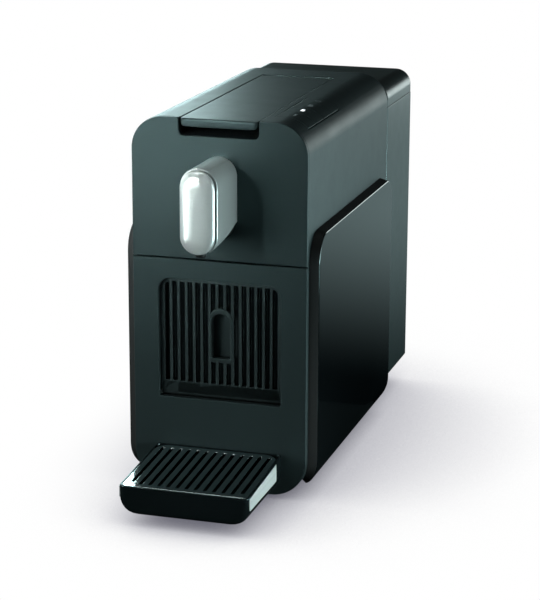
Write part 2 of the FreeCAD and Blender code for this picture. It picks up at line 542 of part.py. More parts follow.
cage = fuse("CageBlank", cy("CageCup", "cage_r", "Y", 0, "brew_z", "cage_front", "cage_back"),
            bx("CageLugs", -31.2, 31.2, 100, 116, "brew_z - 2.8", "brew_z + 2.8"),
            bx("YokeWebRight", 19.6, 22.8, 92, 112, "brew_z", 238.5), bx("YokeWebLeft", -22.8, -19.6, 92, 112, "brew_z", 238.5),
            bx("YokeBarRight", 19.6, 22.8, 92, 198, 229, 238.5), bx("YokeBarLeft", -22.8, -19.6, 92, 198, 229, 238.5),
            bx("YokeEndRight", 19.6, 22.8, 181, 198, 219.5, 238.5), bx("YokeEndLeft", -22.8, -19.6, 181, 198, 219.5, 238.5))
node(cut("CapsuleCage", cage, cy("CageBore", 17.5, "Y", 0, "brew_z", "cage_front + 6", "cage_back + 5"),
         cy("CageOutlet", 2.5, "Z", 0, "cage_front + 8", 180, "brew_z"),
         bx("YokeSlot", -40, 40, pin_y + " - pin_r - 0.6", pin_y + " + pin_r + 0.6", 223.2, 235.4)), "capsule_cage")

# ---------------------------------------------------------------- lid lever
lid_plate = rr("LidPlate", "XY", "-lid_half", "lid_half", "lid_front", "lid_back", (3, 3, 2, 2), "body_top - 0.2 - lid_thick", "body_top - 0.2")
back_y = num("y_face + lid_back")
top_z = num("body_top - 0.2")
lid_round = fillet("LidRounded", lid_plate, 2.0, lambda e: all(abs(v.Y - back_y) < 2.001 and abs(v.Z - top_z) < 1e-4 for v in e.Vertexes)
                   and abs(e.Vertexes[0].Y - back_y) < 1e-4 and abs(e.Vertexes[-1].Y - back_y) < 1e-4)
lip = rr("LidLip", "XZ", "-lid_half", "lid_half", "247.5", "body_top - 0.2 - lid_thick", (2.6, 2.6, 0, 0), "lid_front", 4)
node(fuse("LidPanel", lid_round, lip), "lid_panel")
node(cut("LidFrame", bx("LidFrameOuter", -22, 22, 8, 168, 246.8, 250.5), bx("LidFrameRoom", -19, 19, 11, 165, 240, 249)), "lid_frame")
crank = poly("CrankArm", "YZ", [("168.5", "250.5"), ("181.5", "250.5"), (pin_y + " + 3.4", pin_z + " + 2.4"),
                                (pin_y + " + 2.4", pin_z + " - 3.4"), (pin_y + " - 3", pin_z + " - 3.4")], 23.4, 25.8)
crank_r = cut("CrankDrilled", fuse("CrankWithPin", crank, cy("CrankBoss", 4, "X", pin_y, pin_z, 23.4, 25.8),
                                   cy("CrankPin", "pin_r", "X", pin_y, pin_z, 19.6, 24)),
              cy("CrankBore", "axle_r", "X", "axle_y", "axle_z", 20, 30))
node(group("LidCranks", crank_r, mirror("CrankLeft", crank_r)), "lid_cranks")
node(cy("LidAxle", "axle_r", "X", "axle_y", "axle_z", -31.5, 31.5), "lid_axle")

# ---------------------------------------------------------------- buttons
skin = cut("ButtonSkin", shell_outer, rr("SkinInner", "XZ", *outline_in("2"), 0, "shell_back + 1"))
for i, name in enumerate(("button_espresso", "button_lungo", "button_tea", "button_power")):
    y0 = "button_y + %d * button_len + %s" % (i, "0.5" if i == 0 else "0.35")
    y1 = "button_y + %d * button_len - %s" % (i + 1, "0.5" if i == 3 else "0.35")
    node(common("Button%d" % i, skin, tilted_box("ButtonBox%d" % i, u_in + 0.6, u_out - 0.4, y0, y1, w_low, w_low + 20)), name)
carrier = cut("CarrierSkin", rr("CarrierOuter", "XZ", *outline_in("3.3"), 10, 120), rr("CarrierInner", "XZ", *outline_in("4.8"), 5, 130))
box_c = tilted_box("CarrierBox", u_in - 0.3, u_out + 2, "button_y - 4", "button_y + 4 * button_len + 4", w_low - 4, w_low + 20)


def switch(name, radius, i, w0, w1):
    o = doc.addObject("Part::Cylinder", name)
    o.Radius = radius
    o.Height = w1 - w0
    base = tilt.multVec(Vector((u_in + u_out) / 2, 0, w0))
    o.Placement = Placement(Vector(base.x, 0, base.z), tilt)
    bind(o, "Placement.Base.y", "y_face + button_y + %g * button_len" % (i + 0.5))
    return o


mid = tilt.multVec(Vector((u_in + u_out) / 2, 0, 0))
arc_c = Vector(num("face_half - top_round"), 0, num("body_top - top_round"))
w_mid = inv.multVec(arc_c).z + num("top_round")
node(cut("ButtonCarrier", common("CarrierBlank", carrier, box_c), *[switch("StemHole%d" % i, 2.6, i, w_mid - 15, w_mid + 5) for i in range(4)]),
     "button_carrier")
node(group("ButtonSwitches", *[switch("Switch%d" % i, 2.5, i, w_mid - 8.4, w_mid - 3.6) for i in range(4)]), "button_switches")

# ---------------------------------------------------------------- water circuit
node(cut("PumpCoil", bx("CoilBlock", -19, 19, 157, 193, 62, 98), cy("CoilBore", 9, "X", 175, 80, -30, 30)), "pump_coil")
node(cut("PumpBarrel", fuse("BarrelBlank", cy("BarrelBody", 9, "X", 175, 80, -27, 27), cy("BarrelInlet", 3.2, "X", 175, 80, -38, -27),
                            cy("BarrelOutlet", 3.2, "X", 175, 80, 27, 38)), cy("BarrelBore", "hose_bore", "X", 175, 80, -40, 40)),
     "pump_barrel")
node(fuse("PumpBracket", bx("BracketFoot", -28, 28, 160, 190, 7, 9), bx("BracketLeft", -28, -26, 160, 190, 9, 58),
          bx("BracketRight", 26, 28, 160, 190, 9, 58), bx("BracketTop", -28, 28, 160, 190, 56, 58)), "pump_bracket")
node(group("PumpRubbers", *[cy("Rubber%d" % i, 5, "Z", px, 175, 58, 62) for i, px in enumerate((-12, 12))]), "pump_rubbers")
node(fuse("FlowMeter", cy("MeterBody", 11, "Z", 0, 150, 20, 32), cy("MeterPost", 4, "Z", 0, 150, 7, 20),
          cy("MeterStub", 3.2, "Y", 0, 26, 150, 166)), "flow_meter")


def hose(name, pts, radius):
    """Round hose along straight runs joined by tangent arcs of one radius."""
    P = [Vector(p[0], p[1] + num("y_face"), p[2]) for p in pts]
    edges = []
    last = P[0]
    for i in range(1, len(P) - 1):
        a = (P[i - 1] - P[i]).normalize()
        b = (P[i + 1] - P[i]).normalize()
        half = math.acos(max(-1, min(1, a.dot(b)))) / 2
        t = radius / math.tan(half)
        s, e = P[i] + a * t, P[i] + b * t
        m = (a + b).normalize()
        mid_pt = P[i] + m * (radius / math.sin(half) - radius)
        edges.append(Part.LineSegment(last, s).toShape())
        edges.append(Part.Arc(s, mid_pt, e).toShape())
        last = e
    edges.append(Part.LineSegment(last, P[-1]).toShape())
    path = Part.Wire(edges)
    shapes = []
    for r_tube in (num("hose_r"), num("hose_bore")):
        ring_edge = Part.Wire([Part.Circle(P[0], (P[1] - P[0]).normalize(), r_tube).toShape()])
        shapes.append(path.makePipeShell([ring_edge], True, False))
    tube = shapes[0].cut(shapes[1])
    expect = math.pi * (num("hose_r") ** 2 - num("hose_bore") ** 2) * path.Length
    assert abs(tube.Volume / expect - 1) < 0.01, name
    o = doc.addObject("Part::Feature", name)
    o.Shape = tube
    return o


# routes turn in three dimensions, so each hose is one swept solid
node(hose("HoseSupply", [(0, 219, 9), (0, 208, 9), (0, 195, 22), (0, 180, 26), (0, 166, 26)], 8), "hose_supply")
node(hose("HoseSuction", [(-11, 150, 26), (-30, 150, 26), (-47, 150, 40), (-47, 175, 60), (-47, 175, 80), (-38, 175, 80)], 4.2), "hose_suction")
node(hose("HosePressure", [(38, 175, 80), (48, 175, 80), (48, 175, 110), (44, 180, 190), (24, 180, 190)], 6), "hose_pressure")

node(cut("ControlBoard", bx("BoardPlate", 40, 41.6, 24, 124, 170, 224),
         *[cy("BoardHole%d" % i, 1.6, "X", py, pz, 35, 45) for i, (py, pz) in enumerate([(30, 175), (118, 175), (30, 219), (118, 219)])]),
     "control_board")
board_screws = [cy("BoardScrew%d" % i, 1.6, "X", py, pz, 31.5, 41.6) for i, (py, pz) in
                enumerate([(30, 175), (118, 175), (30, 219), (118, 219)])]
node(group("Screws", *cover_screws, *board_screws), "screws")

# ---------------------------------------------------------------- checks and export
doc.recompute()
bad = [o.Name + " " + str(o.State) for o in doc.Objects if "Invalid" in o.State or "Error" in o.State]
assert not bad, bad
labels = [label for label, _ in NODES]
assert len(labels) == len(set(labels)) <= 60, len(labels)
for label, o in NODES:
    s = o.Shape
    assert not s.isNull() and s.isValid() and s.Solids, label
    assert all(x.Volume > 0.5 for x in s.Solids), label
whole = FreeCAD.BoundBox()
for label, o in NODES:
    whole.add(o.Shape.BoundBox)
print("nodes", len(NODES), "box", whole)
os.makedirs("parts", exist_ok=True)
for old in os.listdir("parts"):
    os.remove(os.path.join("parts", old))
for label, o in NODES:
    o.Shape.exportStep("parts/%s.step" % label)
    print("%-20s solids %d volume %.1f" % (label, len(o.Shape.Solids), o.Shape.Volume))
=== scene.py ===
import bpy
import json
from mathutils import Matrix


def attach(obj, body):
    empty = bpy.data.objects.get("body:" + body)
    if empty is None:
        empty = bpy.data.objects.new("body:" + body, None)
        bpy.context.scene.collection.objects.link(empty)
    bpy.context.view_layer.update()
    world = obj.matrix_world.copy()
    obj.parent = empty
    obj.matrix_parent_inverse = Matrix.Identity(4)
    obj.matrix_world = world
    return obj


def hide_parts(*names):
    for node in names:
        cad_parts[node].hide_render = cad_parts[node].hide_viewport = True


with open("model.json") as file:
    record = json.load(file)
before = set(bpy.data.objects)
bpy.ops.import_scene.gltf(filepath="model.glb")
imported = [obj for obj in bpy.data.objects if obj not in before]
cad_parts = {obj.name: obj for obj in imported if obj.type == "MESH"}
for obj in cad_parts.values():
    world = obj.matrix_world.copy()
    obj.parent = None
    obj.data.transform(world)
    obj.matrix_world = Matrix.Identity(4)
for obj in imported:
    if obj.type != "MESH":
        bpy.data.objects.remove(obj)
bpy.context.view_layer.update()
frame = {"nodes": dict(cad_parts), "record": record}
import bpy, bmesh, math, json
from mathutils import Vector, Matrix

FACE = -0.1074            # y of the front face plane
MM = 0.001


def yy(v):
    """Row-frame y, in mm, of a length counted from the front face."""
    return v + FACE / MM


# ------------------------------------------------------------------ materials
def new_mat(name, base, rough, metal=0.0, spec=0.5, coat=0.0, coat_rough=0.1, ior=1.5):
    m = bpy.data.materials.new(name)
    m.use_nodes = True
    nt = m.node_tree
    b = nt.nodes["Principled BSDF"]
    b.inputs["Base Color"].default_value = (*base, 1)
    b.inputs["Roughness"].default_value = rough
    b.inputs["Metallic"].default_value = metal
    b.inputs["IOR"].default_value = ior
    b.inputs["Specular IOR Level"].default_value = spec
    b.inputs["Coat Weight"].default_value = coat
    b.inputs["Coat Roughness"].default_value = coat_rough
    return m, nt, b


def tinted(m, col):
    m.node_tree.nodes["Principled BSDF"].inputs["Specular Tint"].default_value = (*col, 1)
    return m


def coords(nt, scale=(1, 1, 1), rot=(0, 0, 0)):
    tc = nt.nodes.new("ShaderNodeTexCoord")
    mp = nt.nodes.new("ShaderNodeMapping")
    mp.inputs["Scale"].default_value = scale
    mp.inputs["Rotation"].default_value = rot
    nt.links.new(tc.outputs["Object"], mp.inputs["Vector"])
    return mp.outputs["Vector"]


def noise(nt, vec, scale, detail=3.0, rough=0.5):
    n = nt.nodes.new("ShaderNodeTexNoise")
    n.inputs["Scale"].default_value = scale
    n.inputs["Detail"].default_value = detail
    n.inputs["Roughness"].default_value = rough
    nt.links.new(vec, n.inputs["Vector"])
    return n.outputs["Fac"]


def ramp(nt, fac, p0, c0, p1, c1):
    r = nt.nodes.new("ShaderNodeValToRGB")
    r.color_ramp.elements[0].position = p0
    r.color_ramp.elements[0].color = (*c0, 1)
    r.color_ramp.elements[1].position = p1
    r.color_ramp.elements[1].color = (*c1, 1)
    nt.links.new(fac, r.inputs["Fac"])
    return r.outputs["Color"]


def bump(nt, b, height, strength, dist):
    n = nt.nodes.new("ShaderNodeBump")
    n.inputs["Strength"].default_value = strength
    n.inputs["Distance"].default_value = dist
    nt.links.new(height, n.inputs["Height"])
    nt.links.new(n.outputs["Normal"], b.inputs["Normal"])


def span(nt, fac, lo, hi):
    m = nt.nodes.new("ShaderNodeMapRange")
    m.inputs["To Min"].default_value = lo
    m.inputs["To Max"].default_value = hi
    nt.links.new(fac, m.inputs["Value"])
    return m.outputs["Result"]


def mix_fac(nt, a, b, f):
    m = nt.nodes.new("ShaderNodeMath")
    m.operation = "MULTIPLY_ADD"
    m.inputs[1].default_value = f
    nt.links.new(b, m.inputs[0])
    nt.links.new(a, m.inputs[2])
    return m.outputs[0]


def plastic(name, base, rough, grain=0.10, grain_scale=2600.0, var=0.12, coat=0.0, spec=0.5, rough_var=0.05):
    """Moulded plastic: fine eroded grain, slight tone drift and uneven sheen."""
    m, nt, b = new_mat(name, base, rough, coat=coat, spec=spec)
    v = coords(nt)
    fine = noise(nt, v, grain_scale, 4.0, 0.65)
    broad = noise(nt, v, 14.0, 2.0, 0.5)
    lo = tuple(c * (1 - var) for c in base)
    hi = tuple(min(1, c * (1 + var)) for c in base)
    nt.links.new(ramp(nt, broad, 0.3, lo, 0.7, hi), b.inputs["Base Color"])
    nt.links.new(span(nt, noise(nt, v, 60.0, 3.0, 0.6), rough - rough_var, rough + rough_var), b.inputs["Roughness"])
    if grain > 0:
        bump(nt, b, fine, grain, 0.00012)
    return m


def gloss(name, base, rough=0.06, coat=1.0):
    """Piano-finish plastic with faint polishing haze."""
    m, nt, b = new_mat(name, base, rough, coat=coat, coat_rough=0.03)
    v = coords(nt)
    nt.links.new(ramp(nt, noise(nt, v, 9.0, 2.0), 0.3, tuple(c * 0.85 for c in base), 0.7, tuple(c * 1.15 for c in base)),
                 b.inputs["Base Color"])
    nt.links.new(span(nt, noise(nt, v, 120.0, 4.0, 0.6), rough * 0.6, rough * 1.6), b.inputs["Roughness"])
    bump(nt, b, noise(nt, v, 26.0, 2.0), 0.02, 0.0004)
    return m


def brushed(name, base, rough, axis="z", strength=0.06, var=0.1, metal=1.0):
    """Metal with fine straight brushing along one axis."""
    m, nt, b = new_mat(name, base, rough, metal=metal)
    sc = {"x": (6, 900, 900), "y": (900, 6, 900), "z": (900, 900, 6)}[axis]
    v = coords(nt, sc)
    line = noise(nt, v, 1.0, 5.0, 0.6)
    nt.links.new(ramp(nt, line, 0.25, tuple(c * (1 - var) for c in base), 0.75, tuple(min(1, c * (1 + var)) for c in base)),
                 b.inputs["Base Color"])
    nt.links.new(span(nt, line, rough * 0.8, rough * 1.25), b.inputs["Roughness"])
    bump(nt, b, line, strength, 0.00006)
    return m


def satin_metal(name, base, rough, metal=1.0):
    """Satin-sprayed metal: very fine sparkle and soft tone drift."""
    m, nt, b = new_mat(name, base, rough, metal=metal, coat=0.25, coat_rough=0.25)
    v = coords(nt)
    fine = noise(nt, v, 5200.0, 3.0, 0.7)
    nt.links.new(ramp(nt, fine, 0.3, tuple(c * 0.94 for c in base), 0.7, tuple(min(1, c * 1.05) for c in base)),
                 b.inputs["Base Color"])
    nt.links.new(span(nt, noise(nt, v, 30.0, 3.0), rough - 0.03, rough + 0.03), b.inputs["Roughness"])
    bump(nt, b, fine, 0.05, 0.00004)
    return m


def cast(name, base, rough):
    m, nt, b = new_mat(name, base, rough, metal=1.0)
    v = coords(nt)
    n = noise(nt, v, 420.0, 6.0, 0.7)
    nt.links.new(ramp(nt, n, 0.3, tuple(c * 0.8 for c in base), 0.7, base), b.inputs["Base Color"])
    nt.links.new(span(nt, n, rough - 0.1, rough + 0.12), b.inputs["Roughness"])
    bump(nt, b, n, 0.35, 0.0004)
    return m


def rubber(name, base, rough=0.75):
    m, nt, b = new_mat(name, base, rough, spec=0.3)
    v = coords(nt)
    n = noise(nt, v, 900.0, 4.0, 0.6)
    nt.links.new(ramp(nt, noise(nt, v, 40.0), 0.3, tuple(c * 0.8 for c in base), 0.7, tuple(c * 1.3 for c in base)),
                 b.inputs["Base Color"])
    nt.links.new(span(nt, n, rough - 0.08, rough + 0.08), b.inputs["Roughness"])
    bump(nt, b, n, 0.2, 0.0001)
    return m


def board(name):
    m, nt, b = new_mat(name, (0.03, 0.16, 0.07), 0.35)
    v = coords(nt)
    br = nt.nodes.new("ShaderNodeTexBrick")
    br.inputs["Scale"].default_value = 260.0
    br.inputs["Mortar Size"].default_value = 0.03
    br.inputs["Color1"].default_value = (0.02, 0.14, 0.06, 1)
    br.inputs["Color2"].default_value = (0.03, 0.18, 0.08, 1)
    br.inputs["Mortar"].default_value = (0.25, 0.3, 0.12, 1)
    nt.links.new(v, br.inputs["Vector"])
    nt.links.new(br.outputs["Color"], b.inputs["Base Color"])
    bump(nt, b, noise(nt, v, 700.0), 0.15, 0.0001)
    return m


def smoke(name, base):
    """Smoked, slightly cloudy tank plastic."""
    m, nt, b = new_mat(name, base, 0.22)
    v = coords(nt)
    nt.links.new(ramp(nt, noise(nt, v, 11.0, 3.0), 0.25, tuple(c * 0.85 for c in base), 0.75, tuple(c * 1.15 for c in base)),
                 b.inputs["Base Color"])
    nt.links.new(span(nt, noise(nt, v, 90.0, 3.0), 0.26, 0.36), b.inputs["Roughness"])
    b.inputs["Subsurface Weight"].default_value = 0.0
    bump(nt, b, noise(nt, v, 1400.0, 3.0), 0.04, 0.0001)
    return m


def glow(name, colour, strength):
    m, nt, b = new_mat(name, colour, 0.4)
    v = coords(nt)
    nt.links.new(ramp(nt, noise(nt, v, 300.0), 0.2, tuple(c * 0.9 for c in colour), 0.8, colour), b.inputs["Base Color"])
    b.inputs["Emission Color"].default_value = (*colour, 1)
    b.inputs["Emission Strength"].default_value = strength
    return m


HOUSE = (0.0150, 0.0215, 0.0225)
M = {
    "house": plastic("house_charcoal", HOUSE, 0.44, grain=0.16, grain_scale=2400.0, var=0.10),
    "house_top": plastic("lid_charcoal", (0.019, 0.0265, 0.0275), 0.42, grain=0.16, grain_scale=2400.0, var=0.10),
    "rim": plastic("panel_rim", (0.0035, 0.0045, 0.005), 0.55, grain=0.05, grain_scale=2400.0, var=0.05),
    "gloss": gloss("panel_gloss", (0.003, 0.0042, 0.0048), 0.07, coat=0.0),
    "tray": gloss("tray_gloss", (0.0045, 0.0068, 0.0075), 0.2, coat=0.0),
    "silver": satin_metal("spout_silver", (0.86, 0.90, 0.89), 0.30, metal=0.5),
    "plate_silver": brushed("plate_silver", (0.74, 0.79, 0.78), 0.3, "y", metal=0.45),
    "mirror": brushed("grille_polish", (0.66, 0.72, 0.73), 0.09, "y", strength=0.015, var=0.03),
    "inner": plastic("inner_black", (0.010, 0.011, 0.0115), 0.5, grain=0.1, grain_scale=1800.0),
    "dark": plastic("core_black", (0.004, 0.005, 0.0055), 0.35, grain=0.05, grain_scale=1800.0),
    "shelf": plastic("shelf_charcoal", (0.0165, 0.021, 0.0215), 0.46, grain=0.12, grain_scale=2400.0),
    "tank": smoke("tank_smoke", (0.022, 0.029, 0.0295)),
    "button": plastic("button_black", (0.013, 0.017, 0.0175), 0.3, grain=0.05, grain_scale=3000.0, var=0.08),
    "grey": plastic("grey_plastic", (0.22, 0.225, 0.225), 0.45),
    "white": plastic("white_plastic", (0.62, 0.62, 0.6), 0.45),
    "rubber": rubber("rubber_black", (0.012, 0.012, 0.012)),
    "silicone": plastic("silicone", (0.5, 0.5, 0.47), 0.35, grain=0.04),
    "steel": brushed("steel", (0.52, 0.52, 0.52), 0.3, "z"),
    "cast": cast("cast_aluminium", (0.52, 0.53, 0.54), 0.45),
    "brass": brushed("brass", (0.72, 0.50, 0.22), 0.25, "x"),
    "board": board("board_green"),
    "lit": glow("symbol_lit", (0.9, 0.97, 1.0), 1.1),
    "dim": glow("symbol_dim", (0.20, 0.25, 0.26), 0.12),
}

for k_ in ("house", "house_top", "gloss", "tray", "shelf", "tank", "button", "inner"):
    tinted(M[k_], (0.66, 0.97, 1.0))

NODE_MAT = {
    "housing_black": "house", "gloss_black": "gloss", "tray_black": "tray", "satin_silver": "silver", "mirror_steel": "mirror",
    "inner_black": "inner", "tank_smoke": "tank", "button_black": "button", "grey_plastic": "grey", "white_plastic": "white",
    "rubber_black": "rubber", "silicone": "silicone", "steel": "steel", "cast_aluminium": "cast", "brass": "brass",
    "board_green": "board",
}
SLOT = {s["node"]: s["material_slot"] for s in frame["record"]["subparts"]}
for name, o in frame["nodes"].items():
    mat = M[NODE_MAT[SLOT[name]]]
    o.data.materials.clear()
    o.data.materials.append(mat)
    bev = o.modifiers.new("edge", "BEVEL")
    bev.width = 0.00025
    bev.segments = 2
    bev.limit_method = "ANGLE"
    bev.angle_limit = math.radians(40)
    bev.harden_normals = True
BODY = {n: b for b, ns in frame["record"]["behaviour"]["bodies"].items() for n in ns}


# ------------------------------------------------------------------ mesh helpers (all in mm, row frame)
def finish_mesh(ob, mat, sharp=35.0, weighted=True):
    me = ob.data
    me.materials.clear()
    me.materials.append(mat)
    for p in me.polygons:
        p.use_smooth = True
    me.set_sharp_from_angle(angle=math.radians(sharp))
    if weighted:
        w = ob.modifiers.new("weighted", "WEIGHTED_NORMAL")
        w.keep_sharp = True
        w.weight = 50
    return ob


def make_object(name, bm, mat, sharp=35.0, weighted=True, weld=0.0):
    if weld:
        bmesh.ops.remove_doubles(bm, verts=bm.verts, dist=weld)
    bmesh.ops.recalc_face_normals(bm, faces=bm.faces)
    for v in bm.verts:
        v.co *= MM
    me = bpy.data.meshes.new(name)
    bm.to_mesh(me)
    bm.free()
    ob = bpy.data.objects.new(name, me)
    bpy.context.scene.collection.objects.link(ob)
    return finish_mesh(ob, mat, sharp, weighted)


def add_bevel(ob, width, seg=3, angle=40, harden=True):
    b = ob.modifiers.new("bevel", "BEVEL")
    b.width = width * MM
    b.segments = seg
    b.limit_method = "ANGLE"
    b.angle_limit = math.radians(angle)
    b.harden_normals = False
    b.miter_outer = "MITER_ARC"
    # the bevel goes before the weighted normals
    idx = list(ob.modifiers).index(b)
    if idx > 0:
        ob.modifiers.move(idx, 0)
    return ob


def rrect(a0, a1, b0, b1, r, seg=12):
    """Closed outline, anticlockwise; r is low-left, low-right, top-right, top-left."""
    pts = []
    cs = [(a0, b0, r[0], 180), (a1, b0, r[1], 270), (a1, b1, r[2], 0), (a0, b1, r[3], 90)]
    for (x, z, rad, start) in cs:
        if rad <= 0.001:
            pts.append((x, z))
            continue
        cx = x + rad if x == a0 else x - rad
        cz = z + rad if z == b0 else z - rad
        n = max(3, seg)
        for i in range(n + 1):
            t = math.radians(start + 90 * i / n)
            pts.append((cx + rad * math.cos(t), cz + rad * math.sin(t)))
    return pts


def plate(name, outline, holes, lo, hi, bevel, mat, plane="XZ", bres=4, sharp=30.0):
    """Flat plate from 2D outlines, edges rounded all round. lo..hi is its span along the plane's normal."""
    cu = bpy.data.curves.new(name, "CURVE")
    cu.dimensions = "2D"
    cu.fill_mode = "BOTH"
    cu.extrude = (hi - lo) / 2 * MM - bevel * MM
    cu.bevel_depth = bevel * MM
    cu.bevel_resolution = bres
    cu.offset = -bevel * MM
    for loop in [outline] + list(holes):
        sp = cu.splines.new("POLY")
        sp.points.add(len(loop) - 1)
        for p, (a, b) in zip(sp.points, loop):
            p.co = (a * MM, b * MM, 0, 1)
        sp.use_cyclic_u = True
    tmp = bpy.data.objects.new(name + "_c", cu)
    bpy.context.scene.collection.objects.link(tmp)
    dg = bpy.context.evaluated_depsgraph_get()
    me = bpy.data.meshes.new_from_object(tmp.evaluated_get(dg))
    bpy.data.objects.remove(tmp)
    bpy.data.curves.remove(cu)
    me.name = name
    mid = (lo + hi) / 2 * MM
    if plane == "XZ":
        T = Matrix(((1, 0, 0, 0), (0, 0, -1, mid), (0, 1, 0, 0), (0, 0, 0, 1)))
    elif plane == "XY":
        T = Matrix(((1, 0, 0, 0), (0, 1, 0, 0), (0, 0, 1, mid), (0, 0, 0, 1)))
    else:  # YZ
        T = Matrix(((0, 0, 1, mid), (1, 0, 0, 0), (0, 1, 0, 0), (0, 0, 0, 1)))
    me.transform(T)
    bm = bmesh.new()
    bm.from_mesh(me)
    bmesh.ops.remove_doubles(bm, verts=bm.verts, dist=1e-6)
    bmesh.ops.dissolve_degenerate(bm, edges=bm.edges, dist=1e-7)
    bmesh.ops.recalc_face_normals(bm, faces=bm.faces)
    bm.to_mesh(me)
    bm.free()
    ob = bpy.data.objects.new(name, me)
    bpy.context.scene.collection.objects.link(ob)
    return finish_mesh(ob, mat, sharp)


def rings_mesh(bm, rings, close=True):
    """Quads between successive closed rings of the same length; returns vertex rings."""
    vr = [[bm.verts.new(p) for p in ring] for ring in rings]
    n = len(vr[0])
    for a, b in zip(vr, vr[1:]):
        for i in range(n):
            j = (i + 1) % n
            if not close and j == 0:
                continue
            try:
                bm.faces.new((a[i], a[j], b[j], b[i]))
            except ValueError:
                pass
    return vr


def offset_loop(pts, d):
    """Inward offset of an anticlockwise loop by d (a number, or a function of the outward normal)."""
    n = len(pts)
    out = []
    for i in range(n):
        p0, p1, p2 = pts[i - 1], pts[i], pts[(i + 1) % n]
        e1 = Vector((p1[0] - p0[0], p1[1] - p0[1]))
        e2 = Vector((p2[0] - p1[0], p2[1] - p1[1]))
        if e1.length < 1e-9:
            e1 = e2
        if e2.length < 1e-9:
            e2 = e1
        n1 = Vector((e1.y, -e1.x)).normalized()
        n2 = Vector((e2.y, -e2.x)).normalized()
        m = (n1 + n2).normalized()
        k = 1 / max(0.3, m.dot(n1))
        dd = d(m) if callable(d) else d
        out.append((p1[0] - m.x * dd * k, p1[1] - m.y * dd * k))
    return out


def joined(name, obs):
    bpy.ops.object.select_all(action="DESELECT")
    for o in obs:
        o.select_set(True)
    bpy.context.view_layer.objects.active = obs[0]
    bpy.ops.object.join()
    obs[0].name = name
    return obs[0]


def put(ob, body, *nodes):
    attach(ob, body)
    if nodes:
        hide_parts(*nodes)
    return ob


W = 59.5
LOW, TOP = 3.0, 253.2
R_TOP, R_LOW = 21.5, 24.0


def casing(d=0.0, seg=20):
    return rrect(-W + d, W - d, LOW + d, TOP - d, (R_LOW - d, R_LOW - d, R_TOP - d, R_TOP - d), seg)


# ------------------------------------------------------------------ front covers
def clip_loop(loop, z_cut, keep_above):
    """Casing outline cut by a level line."""
    out = []
    n = len(loop)
    for i in range(n):
        a, b = loop[i], loop[(i + 1) % n]
        ina = (a[1] >= z_cut) == keep_above
        inb = (b[1] >= z_cut) == keep_above
        if ina:
            out.append(a)
        if ina != inb:
            t = (z_cut - a[1]) / (b[1] - a[1])
            out.append((a[0] + t * (b[0] - a[0]), z_cut))
    return out


def fascia_outline():
    upper = clip_loop(casing(), 160.4, True)
    # notch for the lid lip: replace the flat top between -27 and 27
    notch = []
    r = 3.5
    x, z0 = 27.0, 241.5
    lead = 0.9
    notch.append((x + lead, TOP))
    for i in range(1, 5):
        t = math.radians(90 + 90 * i / 4)
        notch.append((x + lead + lead * math.cos(t), TOP - lead + lead * math.sin(t)))
    for i in range(7):
        t = math.radians(0 - 90 * i / 6)
        notch.append((x - r + r * math.cos(t), z0 + r + r * math.sin(t)))
    left = [(-a, b) for a, b in reversed(notch)]
    notch = notch + left
    out = []
    done = False
    for i, p in enumerate(upper):
        out.append(p)
        q = upper[(i + 1) % len(upper)]
        if not done and p[1] > TOP - 0.01 and q[1] > TOP - 0.01 and p[0] > 30 and q[0] < -30:
            out.extend(notch)
            done = True
    return out


fascia = plate("front_fascia_v", fascia_outline(), [], yy(0), yy(3), 0.55, M["house"], bres=5)
put(fascia, "root", "front_fascia")

recess_hole = rrect(-42, 42, 64.8, 146.3, (1.2, 1.2, 9, 9), 12)
prong_holes = [rrect(19.6, 26.4, 16.6, 22.4, (0.8,) * 4), rrect(-26.4, -19.6, 16.6, 22.4, (0.8,) * 4)]
drawer = plate("drawer_front_v", clip_loop(casing(), 159.4, False), [recess_hole] + prong_holes, yy(0), yy(3), 0.55,
               M["house"], bres=5)
put(drawer, "drawer", "drawer_front")

# ------------------------------------------------------------------ cup shelf
shelf_out = rrect(-41.5, 41.5, 66.6, 145.8, (1.0, 1.0, 8.5, 8.5), 12)
slots = []
for i in range(15):
    x = (i - 7) * 5.32
    a, b = x - 1.65, x + 1.65
    top = 143.3 if 0 < i < 14 else 140.6
    tl = 0.5
    if i == 0:
        slots.append(rrect(a, b, 75.1, 142.4, (0.5, 0.5, 0.5, 2.6), 10))
    elif i == 14:
        slots.append(rrect(a, b, 75.1, 142.4, (0.5, 0.5, 2.6, 0.5), 10))
    elif i in (6, 7, 8):
        # the arch interrupts these three
        up_r = 8.3
        def arc_z(xx):
            return 119.0 + math.sqrt(max(0.0, up_r ** 2 - xx ** 2))
        loop = [(b, 143.3 - 0.5), (b - 0.5, 143.3), (a + 0.5, 143.3), (a, 143.3 - 0.5)]
        for k in range(7):
            xx = a + (b - a) * k / 6
            loop.append((xx, arc_z(xx)))
        slots.append(loop)
        slots.append(rrect(a, b, 75.1, 90.0, (0.5,) * 4, 6))
    else:
        slots.append(rrect(a, b, 75.1, 143.3, (0.5,) * 4, 6))
arch_hole = rrect(-6.5, 6.5, 93.0, 123.5, (1.5, 1.5, 6.49, 6.49), 14)
shelf_plate = plate("cup_shelf_v", shelf_out, slots + [arch_hole], yy(3.4), yy(7.6), 0.35, M["shelf"], bres=3)
ring = plate("cup_shelf_arch_v", rrect(-8.1, 8.1, 91.2, 127.1, (2.5, 2.5, 8.09, 8.09), 14), [arch_hole], yy(2.9), yy(6.0), 0.45,
             M["shelf"], bres=4)
put(shelf_plate, "shelf", "cup_shelf")
put(ring, "shelf")
